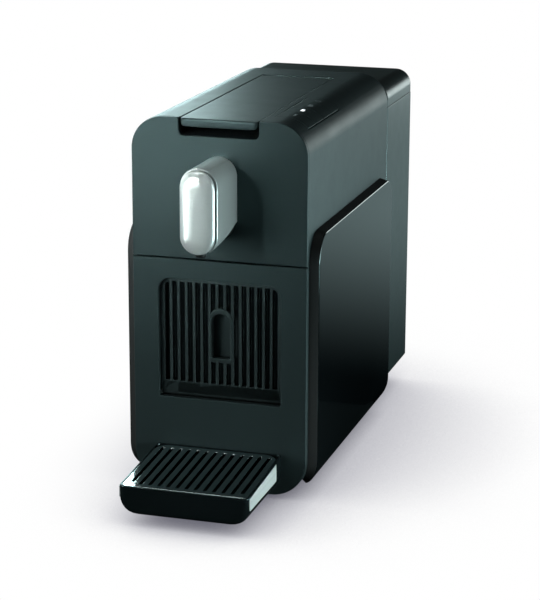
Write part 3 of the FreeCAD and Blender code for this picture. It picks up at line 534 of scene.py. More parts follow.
# hinge bar along the lower edge
bm = bmesh.new()
sec = [(5.5 + 2.1 * math.sin(math.radians(a)), 67.3 - 2.1 * math.cos(math.radians(a))) for a in range(-90, 91, 15)]
sec += [(7.6, 74.6), (7.3, 75.0), (3.7, 75.0), (3.4, 74.6)]
rings = []
for x in (-41.5, -41.2, -30, -15, 0, 15, 30, 41.2, 41.5):
    inset = 0.3 if abs(x) > 41.3 else 0.0
    cy_, cz_ = 5.2, 70.5
    rings.append([(x, yy(cy_ + (p[0] - cy_) * (1 - inset * 0.12)), cz_ + (p[1] - cz_) * (1 - inset * 0.08)) for p in sec])
vr = rings_mesh(bm, rings)
bm.faces.new(vr[0])
bm.faces.new(list(reversed(vr[-1])))
bar = make_object("cup_shelf_bar_v", bm, M["shelf"], 30)
add_bevel(bar, 0.3, 2, 40)
put(bar, "shelf")

# ------------------------------------------------------------------ casing
TOPR, LOWR = R_TOP, R_LOW


def casing_stations():
    """Outline stations (x, z) from the lower left edge up over the top to the lower right, with cut lines included."""
    zs_left = [30.0, 31.0] + [31 + (231.7 - 31) * i / 14 for i in range(1, 15)]
    st = [(-W, z) for z in zs_left]
    n = 20
    for i in range(1, n + 1):
        t = math.radians(180 - 90 * i / n)
        st.append((-W + TOPR + TOPR * math.cos(t), TOP - TOPR + TOPR * math.sin(t)))
    for x in (-32, -27.6, -26.6, -20, -10, 0, 10, 20, 26.6, 27.6, 31.0, 34.5, 38.0):
        st.append((x, TOP))
    arc = []
    out_t = math.degrees(math.asin((54.0 - 38.0) / TOPR))  # from the vertical
    ts = sorted(set([90 - 90 * i / n for i in range(1, n + 1)] + [90 - out_t]), reverse=True)
    ts = [t for t in ts if t == 90 - out_t or abs(t - (90 - out_t)) > 1.2]
    for t in ts:
        r = math.radians(t)
        arc.append((38.0 + TOPR * math.cos(r), TOP - TOPR + TOPR * math.sin(r)))
    st += arc
    st += [(W, z) for z in reversed(zs_left[:-1])]
    return st


def inward(st, i):
    p0 = st[max(0, i - 1)]
    p1 = st[min(len(st) - 1, i + 1)]
    d = Vector((p1[0] - p0[0], p1[1] - p0[1])).normalized()
    return Vector((d.y, -d.x))


def shell_from(name, st, ys, skip, thick, mat, bevel=0.45):
    """Open shell along Y over outline stations; skip(xm, zm, ym) drops faces. Thickness is inwards."""
    bm = bmesh.new()
    grid = [[bm.verts.new((x, yy(y), z)) for y in ys] for (x, z) in st]
    for i in range(len(st) - 1):
        for j in range(len(ys) - 1):
            xm, zm = (st[i][0] + st[i + 1][0]) / 2, (st[i][1] + st[i + 1][1]) / 2
            ym = (ys[j] + ys[j + 1]) / 2
            if skip(xm, zm, ym):
                continue
            bm.faces.new((grid[i][j], grid[i][j + 1], grid[i + 1][j + 1], grid[i + 1][j]))
    bmesh.ops.delete(bm, geom=[v for v in bm.verts if not v.link_faces], context="VERTS")
    # normals outwards: away from the casing's middle
    bm.faces.ensure_lookup_table()
    bmesh.ops.recalc_face_normals(bm, faces=bm.faces)
    c = Vector((0, 0, 128))
    f = max(bm.faces, key=lambda q: q.calc_area())
    fc = f.calc_center_median()
    if f.normal.dot(Vector((fc.x - c.x, 0, fc.z - c.z))) < 0:
        bmesh.ops.reverse_faces(bm, faces=bm.faces)
    for v in bm.verts:
        v.co *= MM
    me = bpy.data.meshes.new(name)
    bm.to_mesh(me)
    bm.free()
    ob = bpy.data.objects.new(name, me)
    bpy.context.scene.collection.objects.link(ob)
    s = ob.modifiers.new("wall", "SOLIDIFY")
    s.thickness = thick * MM
    s.offset = -1
    s.use_even_offset = True
    finish_mesh(ob, mat, 35, weighted=False)
    b = ob.modifiers.new("bevel", "BEVEL")
    b.width = bevel * MM
    b.segments = 3
    b.limit_method = "ANGLE"
    b.angle_limit = math.radians(40)
    w = ob.modifiers.new("weighted", "WEIGHTED_NORMAL")
    w.keep_sharp = False
    w.weight = 50
    return ob


B0, B1 = 22.0, 97.0


def skip_house(x, z, y):
    if abs(x) < 26.6 and z > 250 and y < 183.4:
        return True
    if 31.0 < x < 54.0 and z > 240 and B0 < y < B1:
        return True
    return False


ys = [3.0, 3.6, 8, 15, B0, 34.5, 47, 59.5, 72, 84.5, B1, 110, 125, 140, 155, 170, 183.4, 192, 202, 211.4, 212.0]
house = shell_from("main_housing_v", casing_stations(), ys, skip_house, 2.5, M["house"], bevel=0.3)
put(house, "root", "main_housing")

# ------------------------------------------------------------------ buttons: curved keys in the corner strip
out_t = math.asin((54.0 - 38.0) / TOPR)


def strip_point(s, y, h=0.0):
    """Point on the corner strip: s runs from x = 31 outwards along the skin, h stands off it."""
    flat = 38.0 - 31.0
    if s <= flat:
        return (31.0 + s, yy(y), TOP + h)
    t = (s - flat) / TOPR
    return (38.0 + (TOPR + h) * math.sin(t), yy(y), TOP - TOPR + (TOPR + h) * math.cos(t))


S_END = 7.0 + TOPR * out_t
KEYS = ["button_espresso", "button_lungo", "button_tea", "button_power"]
PITCH = 18.75


def densify(loop, step):
    out = []
    n = len(loop)
    for i in range(n):
        a, b = loop[i], loop[(i + 1) % n]
        k = max(1, int(round(math.hypot(b[0] - a[0], b[1] - a[1]) / step)))
        for j in range(k):
            t = j / k
            out.append((a[0] + (b[0] - a[0]) * t, a[1] + (b[1] - a[1]) * t))
    return out


def key_mesh(name, s0, s1, y0, y1, depth, mat, dish=0.0):
    bm = bmesh.new()
    ns, ny = 18, 14
    loop_rings = []
    # outline in (s, y) with rounded corners, then rings inwards
    base = densify(rrect(s0, s1, y0, y1, (1.3,) * 4, 8), 1.2)
    prof = [(0.0, -depth), (0.0, -0.30), (0.05, -0.14), (0.14, -0.04), (0.3, 0.0), (0.9, 0.0)]
    for d, h in prof:
        loop_rings.append([strip_point(s, y, h) for s, y in offset_loop(base, d)])
    inner = offset_loop(base, 0.9)
    cs, cyy = (s0 + s1) / 2, (y0 + y1) / 2
    for k in (0.9, 0.8, 0.7, 0.6, 0.5, 0.4, 0.3, 0.2, 0.1):
        h = -dish * (1 - k * k)
        loop_rings.append([strip_point(cs + (s - cs) * k, cyy + (y - cyy) * k, h) for s, y in inner])
    vr = rings_mesh(bm, loop_rings)
    centre = bm.verts.new(strip_point(cs, cyy, -dish))
    last = vr[-1]
    for i in range(len(last)):
        bm.faces.new((last[i], last[(i + 1) % len(last)], centre))
    # underside
    bottom = bm.verts.new(strip_point(cs, cyy, -depth))
    first = vr[0]
    mids = [bm.verts.new(strip_point(cs + (s - cs) * 0.5, cyy + (y - cyy) * 0.5, -depth)) for s, y in base]
    for i in range(len(first)):
        j = (i + 1) % len(first)
        bm.faces.new((first[j], first[i], mids[i], mids[j]))
        bm.faces.new((mids[j], mids[i], bottom))
    return make_object(name, bm, mat, 50, weighted=False)


def symbol_mesh(name, loops, s_c, y_c, h, mat, rot=0.0):
    """Flat symbols laid on the strip: loops in (u, v), u along +y (to the rear), v outwards."""
    bm = bmesh.new()
    for loop in loops:
        outer, inner = loop
        n = len(outer)
        if inner is None:
            top = [bm.verts.new(strip_point(s_c + v, y_c + u, h)) for u, v in outer]
            c = (sum(u for u, v in outer) / n, sum(v for u, v in outer) / n)
            cv = bm.verts.new(strip_point(s_c + c[1], y_c + c[0], h))
            low = [bm.verts.new(strip_point(s_c + v, y_c + u, h - 0.12)) for u, v in outer]
            for i in range(n):
                j = (i + 1) % n
                bm.faces.new((top[i], top[j], cv))
                bm.faces.new((low[i], low[j], top[j], top[i]))
            cl = bm.verts.new(strip_point(s_c + c[1], y_c + c[0], h - 0.12))
            for i in range(n):
                j = (i + 1) % n
                bm.faces.new((low[j], low[i], cl))
        else:
            rr_ = [[bm.verts.new(strip_point(s_c + v, y_c + u, hh)) for u, v in lp]
                   for lp, hh in ((outer, h - 0.12), (outer, h), (inner, h), (inner, h - 0.12))]
            for a, b in zip(rr_, rr_[1:] + rr_[:1]):
                for i in range(n):
                    j = (i + 1) % n
                    bm.faces.new((a[i], a[j], b[j], b[i]))
    return make_object(name, bm, mat, 30, weighted=False)


def cup_loops(k):
    """A plain cup, k is its height share: bowl as a filled shape and a ring handle."""
    w = 2.6
    hgt = 1.5 + 1.6 * k
    body = [(-w, hgt / 2), (w, hgt / 2), (w, 0.0), (w * 0.8, -hgt / 2 + 0.35), (w * 0.45, -hgt / 2), (-w * 0.45, -hgt / 2),
            (-w * 0.8, -hgt / 2 + 0.35), (-w, 0.0)]
    body = [(u, -v) for u, v in body]
    hc = w + 0.75
    outer = [(hc + 0.95 * math.cos(math.radians(a)), -0.1 + 0.95 * math.sin(math.radians(a))) for a in range(0, 360, 20)]
    inner = [(hc + 0.5 * math.cos(math.radians(a)), -0.1 + 0.5 * math.sin(math.radians(a))) for a in range(0, 360, 20)]
    return [(body, None), (outer, inner)]


def power_loops():
    outer, inner = [], []
    for a in range(0, 301, 12):
        t = math.radians(a + 120)
        outer.append((2.1 * math.cos(t), 2.1 * math.sin(t)))
    for a in range(0, 301, 12):
        t = math.radians(420 - a)
        inner.append((1.6 * math.cos(t), 1.6 * math.sin(t)))
    n = len(outer)
    segs = []
    for i in range(n - 1):
        segs.append(([outer[i], outer[i + 1], inner[n - 2 - i], inner[n - 1 - i]], None))
    segs.append(([(-0.25, 0.6), (0.25, 0.6), (0.25, 2.5), (-0.25, 2.5)], None))
    return segs


for i, name in enumerate(KEYS):
    y0, y1 = B0 + i * PITCH + (0.35 if i == 0 else 0.17), B0 + (i + 1) * PITCH - (0.35 if i == 3 else 0.17)
    key = key_mesh(name + "_v", 0.52, S_END - 0.66, y0, y1, 1.5, M["house"])
    put(key, name, name)
    sc = 10.6
    if i < 3:
        sym = symbol_mesh(name + "_symbol_v", cup_loops((0.0, 0.6, 1.0)[i]), sc, (y0 + y1) / 2, 0.02, M["lit"] if i == 1 else M["dim"])
    else:
        sym = symbol_mesh(name + "_symbol_v", power_loops(), sc, (y0 + y1) / 2, 0.02, M["dim"])
    put(sym, name)

# ------------------------------------------------------------------ lid lever
bm = bmesh.new()
xs = [-25.9, -25.75, -25.4, -24.9, -24.2, -23.4, -22.4, -18, -12, -6, 0, 6, 12, 18, 22.4, 23.4, 24.2, 24.9, 25.4, 25.75, 25.9]
rings = []
TZ = 253.0
for x in xs:
    ax = abs(x)
    k = max(0.0, ax - 22.4)
    zb = 247.5 + (3.5 - math.sqrt(max(0.0, 3.5 ** 2 - k ** 2))) * 0.85
    kf = max(0.0, ax - 23.9)
    yf = -0.7 + (2.0 - math.sqrt(max(0.0, 4.0 - kf ** 2)))
    sec = [(182.0, 250.5), (182.0, TZ - 2.0), (181.85, TZ - 1.2), (181.4, TZ - 0.6), (180.8, TZ - 0.15), (180.0, TZ),
           (150, TZ), (120, TZ), (90, TZ), (60, TZ), (30, TZ), (8, TZ), (yf + 1.5, TZ), (yf + 0.85, TZ - 0.12),
           (yf + 0.4, TZ - 0.4), (yf + 0.1, TZ - 0.9), (yf, TZ - 1.5),
           (yf, (TZ - 1.5 + zb + 0.6) / 2), (yf, zb + 0.6), (yf + 0.2, zb + 0.2), (yf + 0.6, zb), (3.6, zb), (4.0, zb + 0.3), (4.0, 250.5),
           (8, 250.5), (30, 250.5), (60, 250.5), (90, 250.5), (120, 250.5), (150, 250.5)]
    sec = [(p[0], min(p[1], TZ)) for p in sec]
    rings.append([(x, yy(p[0]), p[1]) for p in sec])
vr = rings_mesh(bm, rings)
bm.faces.new(vr[0])
bm.faces.new(list(reversed(vr[-1])))
lid = make_object("lid_panel_v", bm, M["house_top"], 40)
add_bevel(lid, 0.4, 3, 50)
put(lid, "lid", "lid_panel")

# ------------------------------------------------------------------ side panels
PH, PT, PR = 65.9, 180.5, 24.5
P_F, P_B, P_L = 4.5, 205.5, 4.6
ARC_C = (PH - PR, LOW + PR)


def panel_map(y, s, h):
    """h = height above the casing side (0 .. 6.4); s = developed height."""
    r = PR - (6.4 - h)
    if s >= ARC_C[1]:
        return (59.5 + h, yy(y), s)
    phi = (ARC_C[1] - s) / PR
    # the inner skin follows the casing's own corner, 0.1 off it
    x, z = ARC_C[0] + r * math.cos(phi), ARC_C[1] - r * math.sin(phi)
    cx, cz = W - LOWR, LOW + LOWR
    d = Vector((x - cx, z - cz))
    if x > cx and z < cz and d.length < LOWR + 0.02:
        d = d.normalized() * (LOWR + 0.02)
        x, z = cx + d.x, cz + d.y
    return (x, yy(y), z)


phi_end = math.asin((ARC_C[1] - 5.4) / PR)
S_LOW = ARC_C[1] - PR * phi_end


def panel(name, side):
    base = rrect(P_F, P_B, S_LOW, PT, (22, 16, 15, 20), 20)

    def wide(n):
        f = max(0.0, -n.x)
        t = max(0.0, n.y)
        b = max(0.0, n.x)
        lo = max(0.0, -n.y)
        return (2.8 * f * f + 1.9 * t * t + 1.2 * b * b + 1.0 * lo * lo)
    dense = []
    n = len(base)
    for i in range(n):
        a, b = base[i], base[(i + 1) % n]
        L = math.hypot(b[0] - a[0], b[1] - a[1])
        step = 2.5 if (a[1] < ARC_C[1] + 1 and b[1] < ARC_C[1] + 1 and abs(a[1] - b[1]) > 0.5) else 12.0
        k = max(1, int(L / step))
        for j in range(k):
            t = j / k
            dense.append((a[0] + (b[0] - a[0]) * t, a[1] + (b[1] - a[1]) * t))
    base = dense
    prof = [(0.0, 0.1), (0.12, 1.2), (0.5, 3.6), (0.82, 5.55), (0.90, 5.95)]
    rings2 = []
    for f, h in prof:
        rings2.append([(p, h) for p in offset_loop(base, lambda m, f=f: wide(m) * f)])
    # rounded lip from the side to the face
    for k in range(1, 5):
        t = math.radians(90 * k / 4)
        extra = 1.1 * (1 - math.cos(t))
        h = 5.95 + 0.45 * math.sin(t)
        rings2.append([(p, h) for p in offset_loop(base, lambda m, e=extra: wide(m) * 0.90 + e)])
    bm = bmesh.new()
    vr = [[bm.verts.new((p[0], p[1], h)) for p, h in ring] for ring in rings2]
    n = len(vr[0])
    for j, (a, b) in enumerate(zip(vr, vr[1:])):
        for i in range(n):
            f = bm.faces.new((a[i], a[(i + 1) % n], b[(i + 1) % n], b[i]))
            f.material_index = 1 if j < len(prof) - 1 else 0
    bm.faces.new(vr[-1])
    bm.faces.new(list(reversed(vr[0])))
    # cut the big faces into strips so that they bend round the lower corner
    cuts = [ARC_C[1] - PR * math.radians(a) for a in range(0, 66, 5)] + [ARC_C[1] + 10, ARC_C[1] + 40, 110, 150]
    for s in cuts:
        geom = bm.verts[:] + bm.edges[:] + bm.faces[:]
        bmesh.ops.bisect_plane(bm, geom=geom, plane_co=(0, s, 0), plane_no=(0, 1, 0), dist=1e-5)
    for v in bm.verts:
        y, s, h = v.co
        x, y2, z = panel_map(y, s, h)
        v.co = (x * side, y2, z)
    bm.faces.index_update()
    rim = [f.index for f in bm.faces if f.material_index == 1]
    ob = make_object(name, bm, M["gloss"], 30)
    ob.data.materials.append(M["rim"])
    for i in rim:
        ob.data.polygons[i].material_index = 1
    return ob


put(panel("side_panel_right_v", 1), "root", "side_panel_right")
put(panel("side_panel_left_v", -1), "root", "side_panel_left")


# ------------------------------------------------------------------ spout
SH, SL, SU = 12.35, 173.6, 229.4


def stadium(d=0.0, seg=16, dent=None):
    h = SH - d
    zc0, zc1 = SL + SH, SU - SH
    pts = []
    if dent is not None:
        # the same outline with a narrow parting groove in the upper right of the crown
        for i in range(seg * 2 + 1):
            t = math.radians(180 + 180 * i / (seg * 2))
            pts.append((h * math.cos(t), zc0 + h * math.sin(t)))
        marks = [(58.0 - 1.5, 0), (58.0 - 0.9, dent), (58.0 + 0.9, dent), (58.0 + 1.5, 0)]
        angles = [(180.0 * i / (seg * 2), 0) for i in range(seg * 2 + 1) if abs(180.0 * i / (seg * 2) - 58.0) > 2.0]
        for t, k in sorted(angles + marks):
            r_ = math.radians(t)
            pts.append(((h - k) * math.cos(r_), zc1 + (h - k) * math.sin(r_)))
        return pts
    for i in range(seg * 2 + 1):
        t = math.radians(180 + 180 * i / (seg * 2))
        pts.append((h * math.cos(t), zc0 + h * math.sin(t)))
    for i in range(seg * 2 + 1):
        t = math.radians(0 + 180 * i / (seg * 2))
        pts.append((h * math.cos(t), zc1 + h * math.sin(t)))
    return pts


# shell: stadium tube cut on a slant underneath
def under_z(y):
    return 188.0 + (175.6 - 188.0) * (-(y) - (-2)) / 44.5 if False else 188.0 - (2 - y) * (188.0 - 175.6) / 44.5


bm = bmesh.new()
ys_s = [-40.7, -40.6, -40.3, -30, -20, -10, 0.0]
outer = stadium(0.0, 20)
rings = []
for y in ys_s:
    d = {-40.7: 0.45, -40.6: 0.18, -40.3: 0.0}.get(y, 0.0)
    rings.append([(x, yy(y), z) for x, z in stadium(d, 20, 0.35)])
inner_r = [[(x, yy(y), z) for x, z in stadium(1.5, 20, 0.0)] for y in (0.0, -40.4)]
vr = rings_mesh(bm, rings + inner_r)
n = len(vr[0])
for i in range(n):
    j = (i + 1) % n
    bm.faces.new((vr[-1][i], vr[-1][j], vr[0][j], vr[0][i]))
geom = bm.verts[:] + bm.edges[:] + bm.faces[:]
p0, p1 = Vector((0, yy(2), 188.0)), Vector((0, yy(-42.5), 175.6))
d = (p1 - p0).normalized()
nrm = Vector((0, d.z, -d.y))
if nrm.z > 0:
    nrm = -nrm
res = bmesh.ops.bisect_plane(bm, geom=geom, plane_co=p0, plane_no=nrm, clear_outer=True, dist=1e-5)
edges = [e for e in bm.edges if e.is_boundary]
bmesh.ops.holes_fill(bm, edges=edges, sides=0)
shell = make_object("spout_shell_v", bm, M["silver"], 30)
add_bevel(shell, 0.25, 2, 45)
put(shell, "root", "spout_shell")

# domed cap
bm = bmesh.new()
rings = []
cap_d = 0.85
D = SH - cap_d
for y, d in ((-42.45, 1.6), (-42.47, 0.5), (-42.53, 0.2), (-42.7, 0.0), (-43.0, 0.0)):
    rings.append([(x, yy(y), z) for x, z in stadium(cap_d + d, 20)])
steps = 16
for k in range(1, steps):
    u = k / steps
    d = D * (1 - math.cos(u * math.pi / 2)) ** 1.0
    rise = 5.2 * math.sin(u * math.pi / 2) ** 1.15
    # flat-crowned dome: the edge turns quickly, the middle stays broad
    q = (d / D)
    rise = 5.0 * (1 - (1 - q) ** 2.05) ** (1 / 2.05)
    rings.append([(x, yy(-43.0 - rise), z) for x, z in stadium(cap_d + d * 0.995, 20)])
vr = rings_mesh(bm, rings)
bm.faces.new(vr[0])
last = vr[-1]
n = len(last)
half = n // 2
# close the crown with a single face over the last ring
bm.faces.new(list(reversed(last)))
cap = make_object("spout_cap_v", bm, M["silver"], 60, weighted=False)
put(cap, "root", "spout_cap")

# black core and nozzle
bm = bmesh.new()
rings = [[(x, yy(y), z) for x, z in stadium(dd, 20)] for y, dd in ((-0.0, 1.56), (-40.6, 1.56), (-41.4, 1.7), (-42.7, 2.3))]
vr = rings_mesh(bm, rings)
bm.faces.new(list(reversed(vr[0])))
bm.faces.new(vr[-1])
core = make_object("spout_core_v", bm, M["dark"], 40)
put(core, "root", "spout_core")
bm = bmesh.new()
prof = [(2.0, 178), (3.9, 178), (3.9, 174.0), (3.5, 172.6), (3.2, 171.9), (2.9, 171.7), (2.2, 171.7), (1.9, 172.0), (1.8, 173.0), (1.8, 178)]
rings = []
for r_, z in prof:
    rings.append([(r_ * math.cos(2 * math.pi * i / 32), yy(-37) + r_ * math.sin(2 * math.pi * i / 32), z) for i in range(32)])
rings_mesh(bm, rings + [rings[0]])
noz = make_object("spout_nozzle_v", bm, M["dark"], 40, weld=1e-4)
put(noz, "root")

# ------------------------------------------------------------------ drip tray
TH, TF, TB = 43.6, -75.2, -0.4
SL_T = math.tan(math.radians(3.46))


def tray_top(y):
    return 27.3 + (y - TF) * SL_T


def tray_ring(z, inset=0.0, rc=4.0, top_off=None, front_in=0.0, yb=TB, rb=3.0):
    """Outline in XY at height share z; top_off puts it on the sloped rim."""
    if top_off is None:
        k = max(0.0, 11.5 - (z - 8.4))
        w = TH - (11.5 - math.sqrt(max(0.0, 11.5 ** 2 - k ** 2)))
        fr = 0.0
        kk = max(0.0, 3.0 - (z - 8.4))
        fr = 3.0 - math.sqrt(max(0.0, 9.0 - kk ** 2))
    else:
        w, fr = TH, 0.0
    pts = rrect(-w + inset, w - inset, TF + fr + inset, yb - inset * 0.6, (rc, rc, rb, rb), 14)
    out = []
    for x, y in pts:
        zz = z if top_off is None else tray_top(y) + top_off
        out.append((x, yy(y), zz))
    return out


bm = bmesh.new()
rings = []
for z in (8.4, 8.6, 9.2, 10.2, 11.6, 13.2, 15.0, 17.2, 19.9, 22.0):
    rings.append(tray_ring(z))
rings.append(tray_ring(0, 0.0, top_off=-0.9))
for k in range(1, 5):
    t = math.radians(90 * k / 4)
    rings.append(tray_ring(0, 0.55 * (1 - math.cos(t)), top_off=-0.55 + 0.55 * math.sin(t)))
rings.append(tray_ring(0, 0.95, rc=3.3, top_off=0.0, rb=2.5))
rings.append(tray_ring(0, 1.15, rc=3.1, top_off=-0.25, rb=2.4))
rings.append(tray_ring(0, 1.25, rc=3.0, top_off=-1.8, rb=2.3))
rings.append(tray_ring(0, 3.4, rc=2.5, top_off=-1.9, rb=2.0))
rings.append(tray_ring(0, 3.9, rc=2.5, top_off=-2.6, rb=2.0))
rings.append([(p[0], p[1], 12.6) for p in tray_ring(0, 4.6, rc=3.5, top_off=0, rb=3.0)])
rings.append([(p[0], p[1], 11.5) for p in tray_ring(0, 5.8, rc=3.5, top_off=0, rb=3.0)])
vr = rings_mesh(bm, rings)
bm.faces.new(list(reversed(vr[0])))
bm.faces.new(vr[-1])
tray = make_object("drip_tray_v", bm, M["tray"], 40)
put(tray, "tray", "drip_tray")
for sgn, nm in ((1, "right"), (-1, "left")):
    x0, x1 = sorted((sgn * 20, sgn * 26))
    pr = plate("tray_prong_%s_v" % nm, rrect(x0, x1, 17, 22, (0.8,) * 4), [], yy(-2), yy(12), 0.4, M["tray"], bres=2)
    put(pr, "tray")

# silver side plates
for sgn, nm in ((1, "right"), (-1, "left")):
    pts = rrect(yy(-72.6), yy(-14.4), 18.3, 40, (1.2, 1.2, 0, 0), 8)
    lim = [(a, min(b, tray_top(a - FACE / MM) - 1.0) if b > 30 else b) for a, b in pts]
    lo_, hi_ = sorted((sgn * (TH - 0.9), sgn * (TH + 0.28)))
    sp = plate("tray_side_plate_%s_v" % nm, lim, [], lo_, hi_, 0.26, M["plate_silver"], plane="YZ", bres=3)
    if sgn == 1:
        put(sp, "tray", "tray_side_plates")
    else:
        put(sp, "tray")

# slotted grille on the slope
gr_slots = []
for i in range(13):
    x = (i - 6) * 6.15
    y0 = 6.2 if 0 < i < 12 else 8.4
    gr_slots.append(rrect(x - 1.2, x + 1.2, y0, 68.5, (1.1,) * 4, 8))
grille = plate("drip_grille_v", rrect(-TH + 1.6, TH - 1.6, 1.7, 72.9, (2.7, 2.7, 9.2, 9.2), 12), gr_slots, -1.7, -0.2, 0.3,
               M["mirror"], plane="XY", bres=3)
T = Matrix.Translation((0, yy(TF) * MM, 27.3 * MM)) @ Matrix.Rotation(math.radians(3.46), 4, "X")
grille.data.transform(T)
put(grille, "grille", "drip_grille")

# ------------------------------------------------------------------ water tank and its lid
def tank_ring(inset, z, rr_rear=4.0, rr_front=1.5):
    return [(x, yy(y), z) for x, y in rrect(-W + inset, W - inset, 212.5 + inset, 290 - inset,
                                             (max(0.3, rr_front - inset), max(0.3, rr_front - inset), max(0.8, rr_rear - inset),
                                              max(0.8, rr_rear - inset)), 12)]


bm = bmesh.new()
rings = []
for k in range(5):
    t = math.radians(90 * k / 4)
    rings.append(tank_ring(1.6 * (1 - math.sin(t)), 20.3 + 1.6 * (1 - math.cos(t))))
for z in (60, 110, 160, 200):
    rings.append(tank_ring(0.0, z))
rings += [tank_ring(0, 228.2), tank_ring(0.08, 228.42), tank_ring(0.3, 228.5), tank_ring(1.9, 228.5), tank_ring(2.2, 228.2)]
rings += [tank_ring(2.2, z) for z in (200, 160, 110, 60, 24.0)] + [tank_ring(2.7, 22.8), tank_ring(3.6, 22.5)]
vr = rings_mesh(bm, rings)
bm.faces.new(list(reversed(vr[0])))
bm.faces.new(vr[-1])
tank = make_object("water_tank_v", bm, M["tank"], 40)
put(tank, "tank", "water_tank")

TT = 246.0


def cap_ring(inset, y_in, z_low, dz_top, full=True):
    """Lid section at one Y: closed outline in XZ."""
    r = 11.5
    return rrect(-W + inset, W - inset, z_low, TT - inset, (0, 0, r, r), 14)


bm = bmesh.new()
# the lid is lofted along Y, its rear edge rounded
secs = []
for y, ins in ((212.5, 0.6), (212.6, 0.25), (212.9, 0.0), (214, 0), (240, 0), (265, 0), (284.5, 0.0), (286.5, 0.25), (288.0, 0.9), (289.1, 1.9), (289.75, 3.0), (290.0, 4.2)):
    o = rrect(-W + ins, W - ins, 228.95, TT - ins, (0, 0, max(3.0, 11.5 - ins), max(3.0, 11.5 - ins)), 16)
    secs.append([(x, yy(y), z) for x, z in o])
vr = rings_mesh(bm, secs)
bm.faces.new(list(reversed(vr[0])))
bm.faces.new(vr[-1])
tlid = make_object("tank_lid_v", bm, M["tank"], 40)
add_bevel(tlid, 0.3, 2, 60)
put(tlid, "tank_lid", "tank_lid")

# ------------------------------------------------------------------ floor
floor_me = bpy.data.meshes.new("floor")
bm = bmesh.new()
bmesh.ops.create_grid(bm, x_segments=2, y_segments=2, size=6.0)
bm.to_mesh(floor_me)
bm.free()
floor = bpy.data.objects.new("floor", floor_me)
bpy.context.scene.collection.objects.link(floor)
# floor material: seen by the camera it is emitted white with a painted shadow; in reflections and bounces it is a
# plain dark diffuse surface
fm = bpy.data.materials.new("floor_white_painted_shadow")
fm.use_nodes = True
fnt = fm.node_tree
fnt.nodes.clear()
fo = fnt.nodes.new("ShaderNodeOutputMaterial")
# painted shadow: ambient occlusion drives a colour ramp from grey-violet to white, so the shade around the machine is
# painted into the floor's emitted colour
painted_shadow_ao = fnt.nodes.new("ShaderNodeAmbientOcclusion")
painted_shadow_ao.inputs["Distance"].default_value = 0.20
painted_shadow_ao.samples = 8
fr = fnt.nodes.new("ShaderNodeValToRGB")
fr.color_ramp.elements[0].position = 0.0
fr.color_ramp.elements[0].color = (0.10, 0.10, 0.13, 1)
fr.color_ramp.elements[1].position = 0.88
fr.color_ramp.elements[1].color = (1.0, 1.0, 1.0, 1)
mid_ = fr.color_ramp.elements.new(0.56)
mid_.color = (0.58, 0.58, 0.62, 1)
fnt.links.new(painted_shadow_ao.outputs["AO"], fr.inputs["Fac"])
fa = fnt.nodes.new("ShaderNodeEmission")
fa.inputs["Strength"].default_value = 1.0
ftc = fnt.nodes.new("ShaderNodeTexCoord")
fsp = fnt.nodes.new("ShaderNodeSeparateXYZ")
fnt.links.new(ftc.outputs["Object"], fsp.inputs[0])
# the painted shadow fades out to plain white going left, from x = -0.02 m to x = -0.16 m, so it lies only on the
# machine's right side
painted_shadow_side_fade = fnt.nodes.new("ShaderNodeMapRange")
painted_shadow_side_fade.interpolation_type = "SMOOTHSTEP"
painted_shadow_side_fade.inputs["From Min"].default_value = -0.16
painted_shadow_side_fade.inputs["From Max"].default_value = -0.02
fnt.links.new(fsp.outputs["X"], painted_shadow_side_fade.inputs["Value"])
painted_shadow_mix = fnt.nodes.new("ShaderNodeMix")
painted_shadow_mix.data_type = "RGBA"
painted_shadow_mix.inputs[6].default_value = (1, 1, 1, 1)
fnt.links.new(painted_shadow_side_fade.outputs["Result"], painted_shadow_mix.inputs[0])
fnt.links.new(fr.outputs["Color"], painted_shadow_mix.inputs[7])
fnt.links.new(painted_shadow_mix.outputs[2], fa.inputs["Color"])
fdark = fnt.nodes.new("ShaderNodeBsdfDiffuse")
fdark.inputs["Color"].default_value = (0.05, 0.055, 0.055, 1)
fl = fnt.nodes.new("ShaderNodeLightPath")
fx = fnt.nodes.new("ShaderNodeMixShader")
fnt.links.new(fl.outputs["Is Camera Ray"], fx.inputs["Fac"])
fnt.links.new(fdark.outputs[0], fx.inputs[1])
fnt.links.new(fa.outputs[0], fx.inputs[2])
fnt.links.new(fx.outputs[0], fo.inputs["Surface"])
floor.data.materials.append(fm)


# ------------------------------------------------------------------ light
def area(name, loc, target, size, energy, colour=(1, 1, 1), size_y=None, spread=180, gloss=True):
    l = bpy.data.lights.new(name, "AREA")
    l.energy = energy
    l.color = colour
    l.shape = "RECTANGLE"
    l.size = size
    l.size_y = size_y or size
    l.spread = math.radians(spread)
    o = bpy.data.objects.new(name, l)
    bpy.context.scene.collection.objects.link(o)
    o.location = loc
    o.rotation_mode = "QUATERNION"
    o.rotation_quaternion = (Vector(target) - Vector(loc)).to_track_quat("-Z", "Y")
    o.visible_glossy = gloss
    return o


# white for the camera, a dim room for everything the object mirrors
world = bpy.data.worlds.new("studio")
bpy.context.scene.world = world
world.use_nodes = True
wn = world.node_tree
wn.nodes.clear()
out = wn.nodes.new("ShaderNodeOutputWorld")
white = wn.nodes.new("ShaderNodeBackground")
white.inputs["Color"].default_value = (1, 1, 1, 1)
white.inputs["Strength"].default_value = 1.0
room = wn.nodes.new("ShaderNodeBackground")
room.name = "room"
room.inputs["Strength"].default_value = 0.012
room.inputs["Color"].default_value = (0.94, 1.0, 0.99, 1)
lp = wn.nodes.new("ShaderNodeLightPath")
mixw = wn.nodes.new("ShaderNodeMixShader")
wn.links.new(lp.outputs["Is Camera Ray"], mixw.inputs["Fac"])
wn.links.new(room.outputs[0], mixw.inputs[1])
wn.links.new(white.outputs[0], mixw.inputs[2])
wn.links.new(mixw.outputs[0], out.inputs["Surface"])

